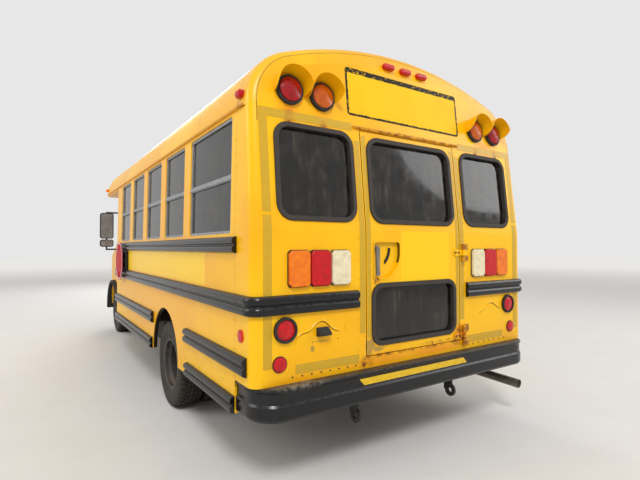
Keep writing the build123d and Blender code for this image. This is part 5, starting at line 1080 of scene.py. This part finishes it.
class BUS_OT_wipers(bpy.types.Operator):
    """Two parked wipers: a sprung arm, its bridge and a thin rubber blade."""
    bl_idname = "bus.wipers"
    bl_label = "Hang the wipers"

    def execute(self, context):
        low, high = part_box("windscreen")
        lean = math.atan2(high[1] - low[1] - 0.007, high[2] - low[2])
        for side, pivot_x in (("left", 0.62), ("right", -0.10)):
            arm = start_block("wiper_arm_" + side, (-0.21, -0.012, 0.030), (0.44, 0.006, 0.012))
            shape(arm, "VERT", lambda v: v.co.x < -0.3,
                  (bpy.ops.transform.resize, {"value": (1, 0.6, 0.5), "center_override": (-0.43, -0.012, 0.030)}))
            shape(arm, "EDGE", lambda e: abs(e.verts[0].co.x - e.verts[1].co.x) > 0.2,
                  (bpy.ops.mesh.bevel, {"offset": 0.0012, "segments": 2}))
            boss = start_disc("boss", (0.0, -0.009, 0.030), 0.013, 0.018, "Y", 20)
            shape(boss, "FACE", lambda f: f.normal.y < -0.9,
                  (bpy.ops.mesh.inset, {"thickness": 0.004}),
                  (bpy.ops.transform.translate, {"value": (0, -0.004, 0)}))
            bridge = start_block("bridge", (-0.36, -0.0085, 0.030), (0.20, 0.004, 0.008))
            shape(bridge, "VERT", lambda v: abs(v.co.x + 0.36) > 0.09,
                  (bpy.ops.transform.translate, {"value": (0, 0.004, 0)}))
            blade = start_block("blade", (-0.36, -0.003, 0.030), (0.46, 0.006, 0.007))
            shape(blade, "FACE", lambda f: f.normal.y > 0.9,
                  (bpy.ops.transform.resize, {"value": (1, 1, 0.25), "center_override": (-0.36, 0, 0.030)}))
            wiper = joined("wiper_" + side, [arm, boss, bridge, blade])
            turn = Matrix.Rotation(-lean, 4, "X") @ Matrix.Rotation(math.radians(6), 4, "Y")
            wiper.data.transform(Matrix.Translation((pivot_x, low[1] - 0.001, low[2])) @ turn)
            deliver(wiper, "bus", "black_plastic")
        return {"FINISHED"}


class BUS_OT_radiator(bpy.types.Operator):
    """Radiator core behind the grille: a shallow tray of flat upright tubes."""
    bl_idname = "bus.radiator"
    bl_label = "Fit the radiator"

    def execute(self, context):
        front_y, middle_z = -3.210, 0.865
        tray = start_block("tray", (0, front_y + 0.010, middle_z), (1.060, 0.020, 0.330))
        shape(tray, "FACE", lambda f: f.normal.y < -0.9,
              (bpy.ops.mesh.inset, {"thickness": 0.020}),
              (bpy.ops.transform.translate, {"value": (0, 0.008, 0)}))
        tube = start_block("tube", (0, front_y + 0.003, middle_z), (0.010, 0.010, 0.286))
        shape(tube, "FACE", lambda f: f.normal.y < -0.9,
              (bpy.ops.transform.resize, {"value": (0.4, 1, 1), "center_override": (0, front_y, middle_z)}))
        tubes = copies(tube, [Matrix.Translation((-0.500 + 0.020 * n, 0, 0)) for n in range(51)])
        deliver(joined("radiator_core", [tray, tubes]), "bus", "chassis_black", angle=20)
        return {"FINISHED"}


# Stage, light and camera

class BUS_OT_stage(bpy.types.Operator):
    """Pale floor, soft studio light and the camera at the view of the photograph."""
    bl_idname = "bus.stage"
    bl_label = "Set the stage"

    def execute(self, context):
        clear_selection()
        bpy.ops.mesh.primitive_plane_add(size=120, location=(0, 0, 0))
        floor = context.object
        floor.name = "studio_floor"
        material, add, where = open_material("painted_studio_floor")
        mottle = add("TexNoise", (where, 0, 1 / 0.35, 5.0, 0.55))
        tint = coat(add, [*settings().floor_colour, 1.0], "#D6D3CD", (mottle, 0.3, 0.8, 0.0, 0.25))
        # the far floor glows a little, so that it runs into the pale backdrop
        distance = add("VectorMath", (where,), operation="LENGTH").outputs["Value"]
        floor.data.materials.append(close_material(material, add, {
            "Base Color": tint, "Roughness": 0.9, "Emission Color": "#FFFEFB",
            "Emission Strength": (distance, 7.0, 34.0, 0.0, 0.36)}))

        world = bpy.data.worlds.new("studio")
        context.scene.world = world
        world.use_nodes = True
        world.node_tree.nodes.clear()
        add = partial(add_node, world.node_tree)
        path = add("LightPath").outputs
        seen = add("Math", (path["Is Camera Ray"], path["Is Glossy Ray"]), **MOST)
        seen = add("Math", (seen, path["Is Transmission Ray"]), **MOST)
        strength = add("MapRange", {"Value": seen, "To Min": 0.55, "To Max": 0.80})
        light = add("Background", {"Color": (1, 1, 1, 1), "Strength": strength})
        add("OutputWorld", {"Surface": light})

        # name, place, target, size, watts
        lamps = (("key", (5.0, 10.5, 9.5), (0, 1.5, 1.2), 3.0, 700),
                 ("fill", (-8.0, 7.0, 6.0), (0, 0.5, 1.2), 6.0, 260),
                 ("left", (9.0, -1.0, 6.0), (0, -0.5, 1.2), 6.0, 260),
                 ("front", (-3.0, -11.0, 6.5), (0, -1.5, 1.2), 6.0, 420))
        for name, spot, target, size, watts in lamps:
            lamp = bpy.data.lights.new(name, "AREA")
            lamp.shape = "DISK"
            lamp.size = size
            lamp.energy = watts
            holder = bpy.data.objects.new(name, lamp)
            holder.location = spot
            holder.rotation_euler = (Vector(target) - Vector(spot)).to_track_quat("-Z", "Y").to_euler()
            context.collection.objects.link(holder)

        eye = bpy.data.cameras.new("photo_view")
        eye.sensor_width = 36.0
        eye.lens = 24.69
        eye.clip_end = 200.0
        camera = bpy.data.objects.new("photo_view", eye)
        yaw, pitch, roll = math.radians(33.53), math.radians(0.963), math.radians(-0.144)
        ahead = Vector((-math.sin(yaw) * math.cos(pitch), -math.cos(yaw) * math.cos(pitch), math.sin(pitch)))
        aim = ahead.to_track_quat("-Z", "Y").to_matrix().to_4x4()
        camera.matrix_world = Matrix.Translation((2.202, 5.423, 1.394)) @ aim @ Matrix.Rotation(roll, 4, "Z")
        context.collection.objects.link(camera)
        context.scene.camera = camera
        context.scene.view_settings.view_transform = "Standard"
        return {"FINISHED"}


class BUS_PT_panel(bpy.types.Panel):
    """Steps that dress the bus, in order."""
    bl_idname = "BUS_PT_panel"
    bl_label = "School Bus"
    bl_space_type = "VIEW_3D"
    bl_region_type = "UI"
    bl_category = "School Bus"

    def draw(self, context):
        for name in BusSettings.__annotations__:
            self.layout.prop(context.scene.bus_settings, name)
        for step in STEPS:
            self.layout.operator(step.bl_idname)


STEPS = (BUS_OT_finishes, BUS_OT_benches, BUS_OT_tyres, BUS_OT_wheel_nuts, BUS_OT_rivets, BUS_OT_tail_sheets,
         BUS_OT_dents, BUS_OT_fixings, BUS_OT_wipers, BUS_OT_radiator, BUS_OT_stage)
CLASSES = (BusSettings, *STEPS, BUS_PT_panel)


def register():
    """Register the settings, the operators and the panel."""
    for each in CLASSES:
        bpy.utils.register_class(each)
    bpy.types.Scene.bus_settings = bpy.props.PointerProperty(type=BusSettings)


def unregister():
    """Remove them again."""
    del bpy.types.Scene.bus_settings
    for each in reversed(CLASSES):
        bpy.utils.unregister_class(each)


def main():
    """Dress the bus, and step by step."""
    register()
    for step in STEPS:
        family, name = step.bl_idname.split(".")
        getattr(getattr(bpy.ops, family), name)()


if __name__ == "__main__":
    main()
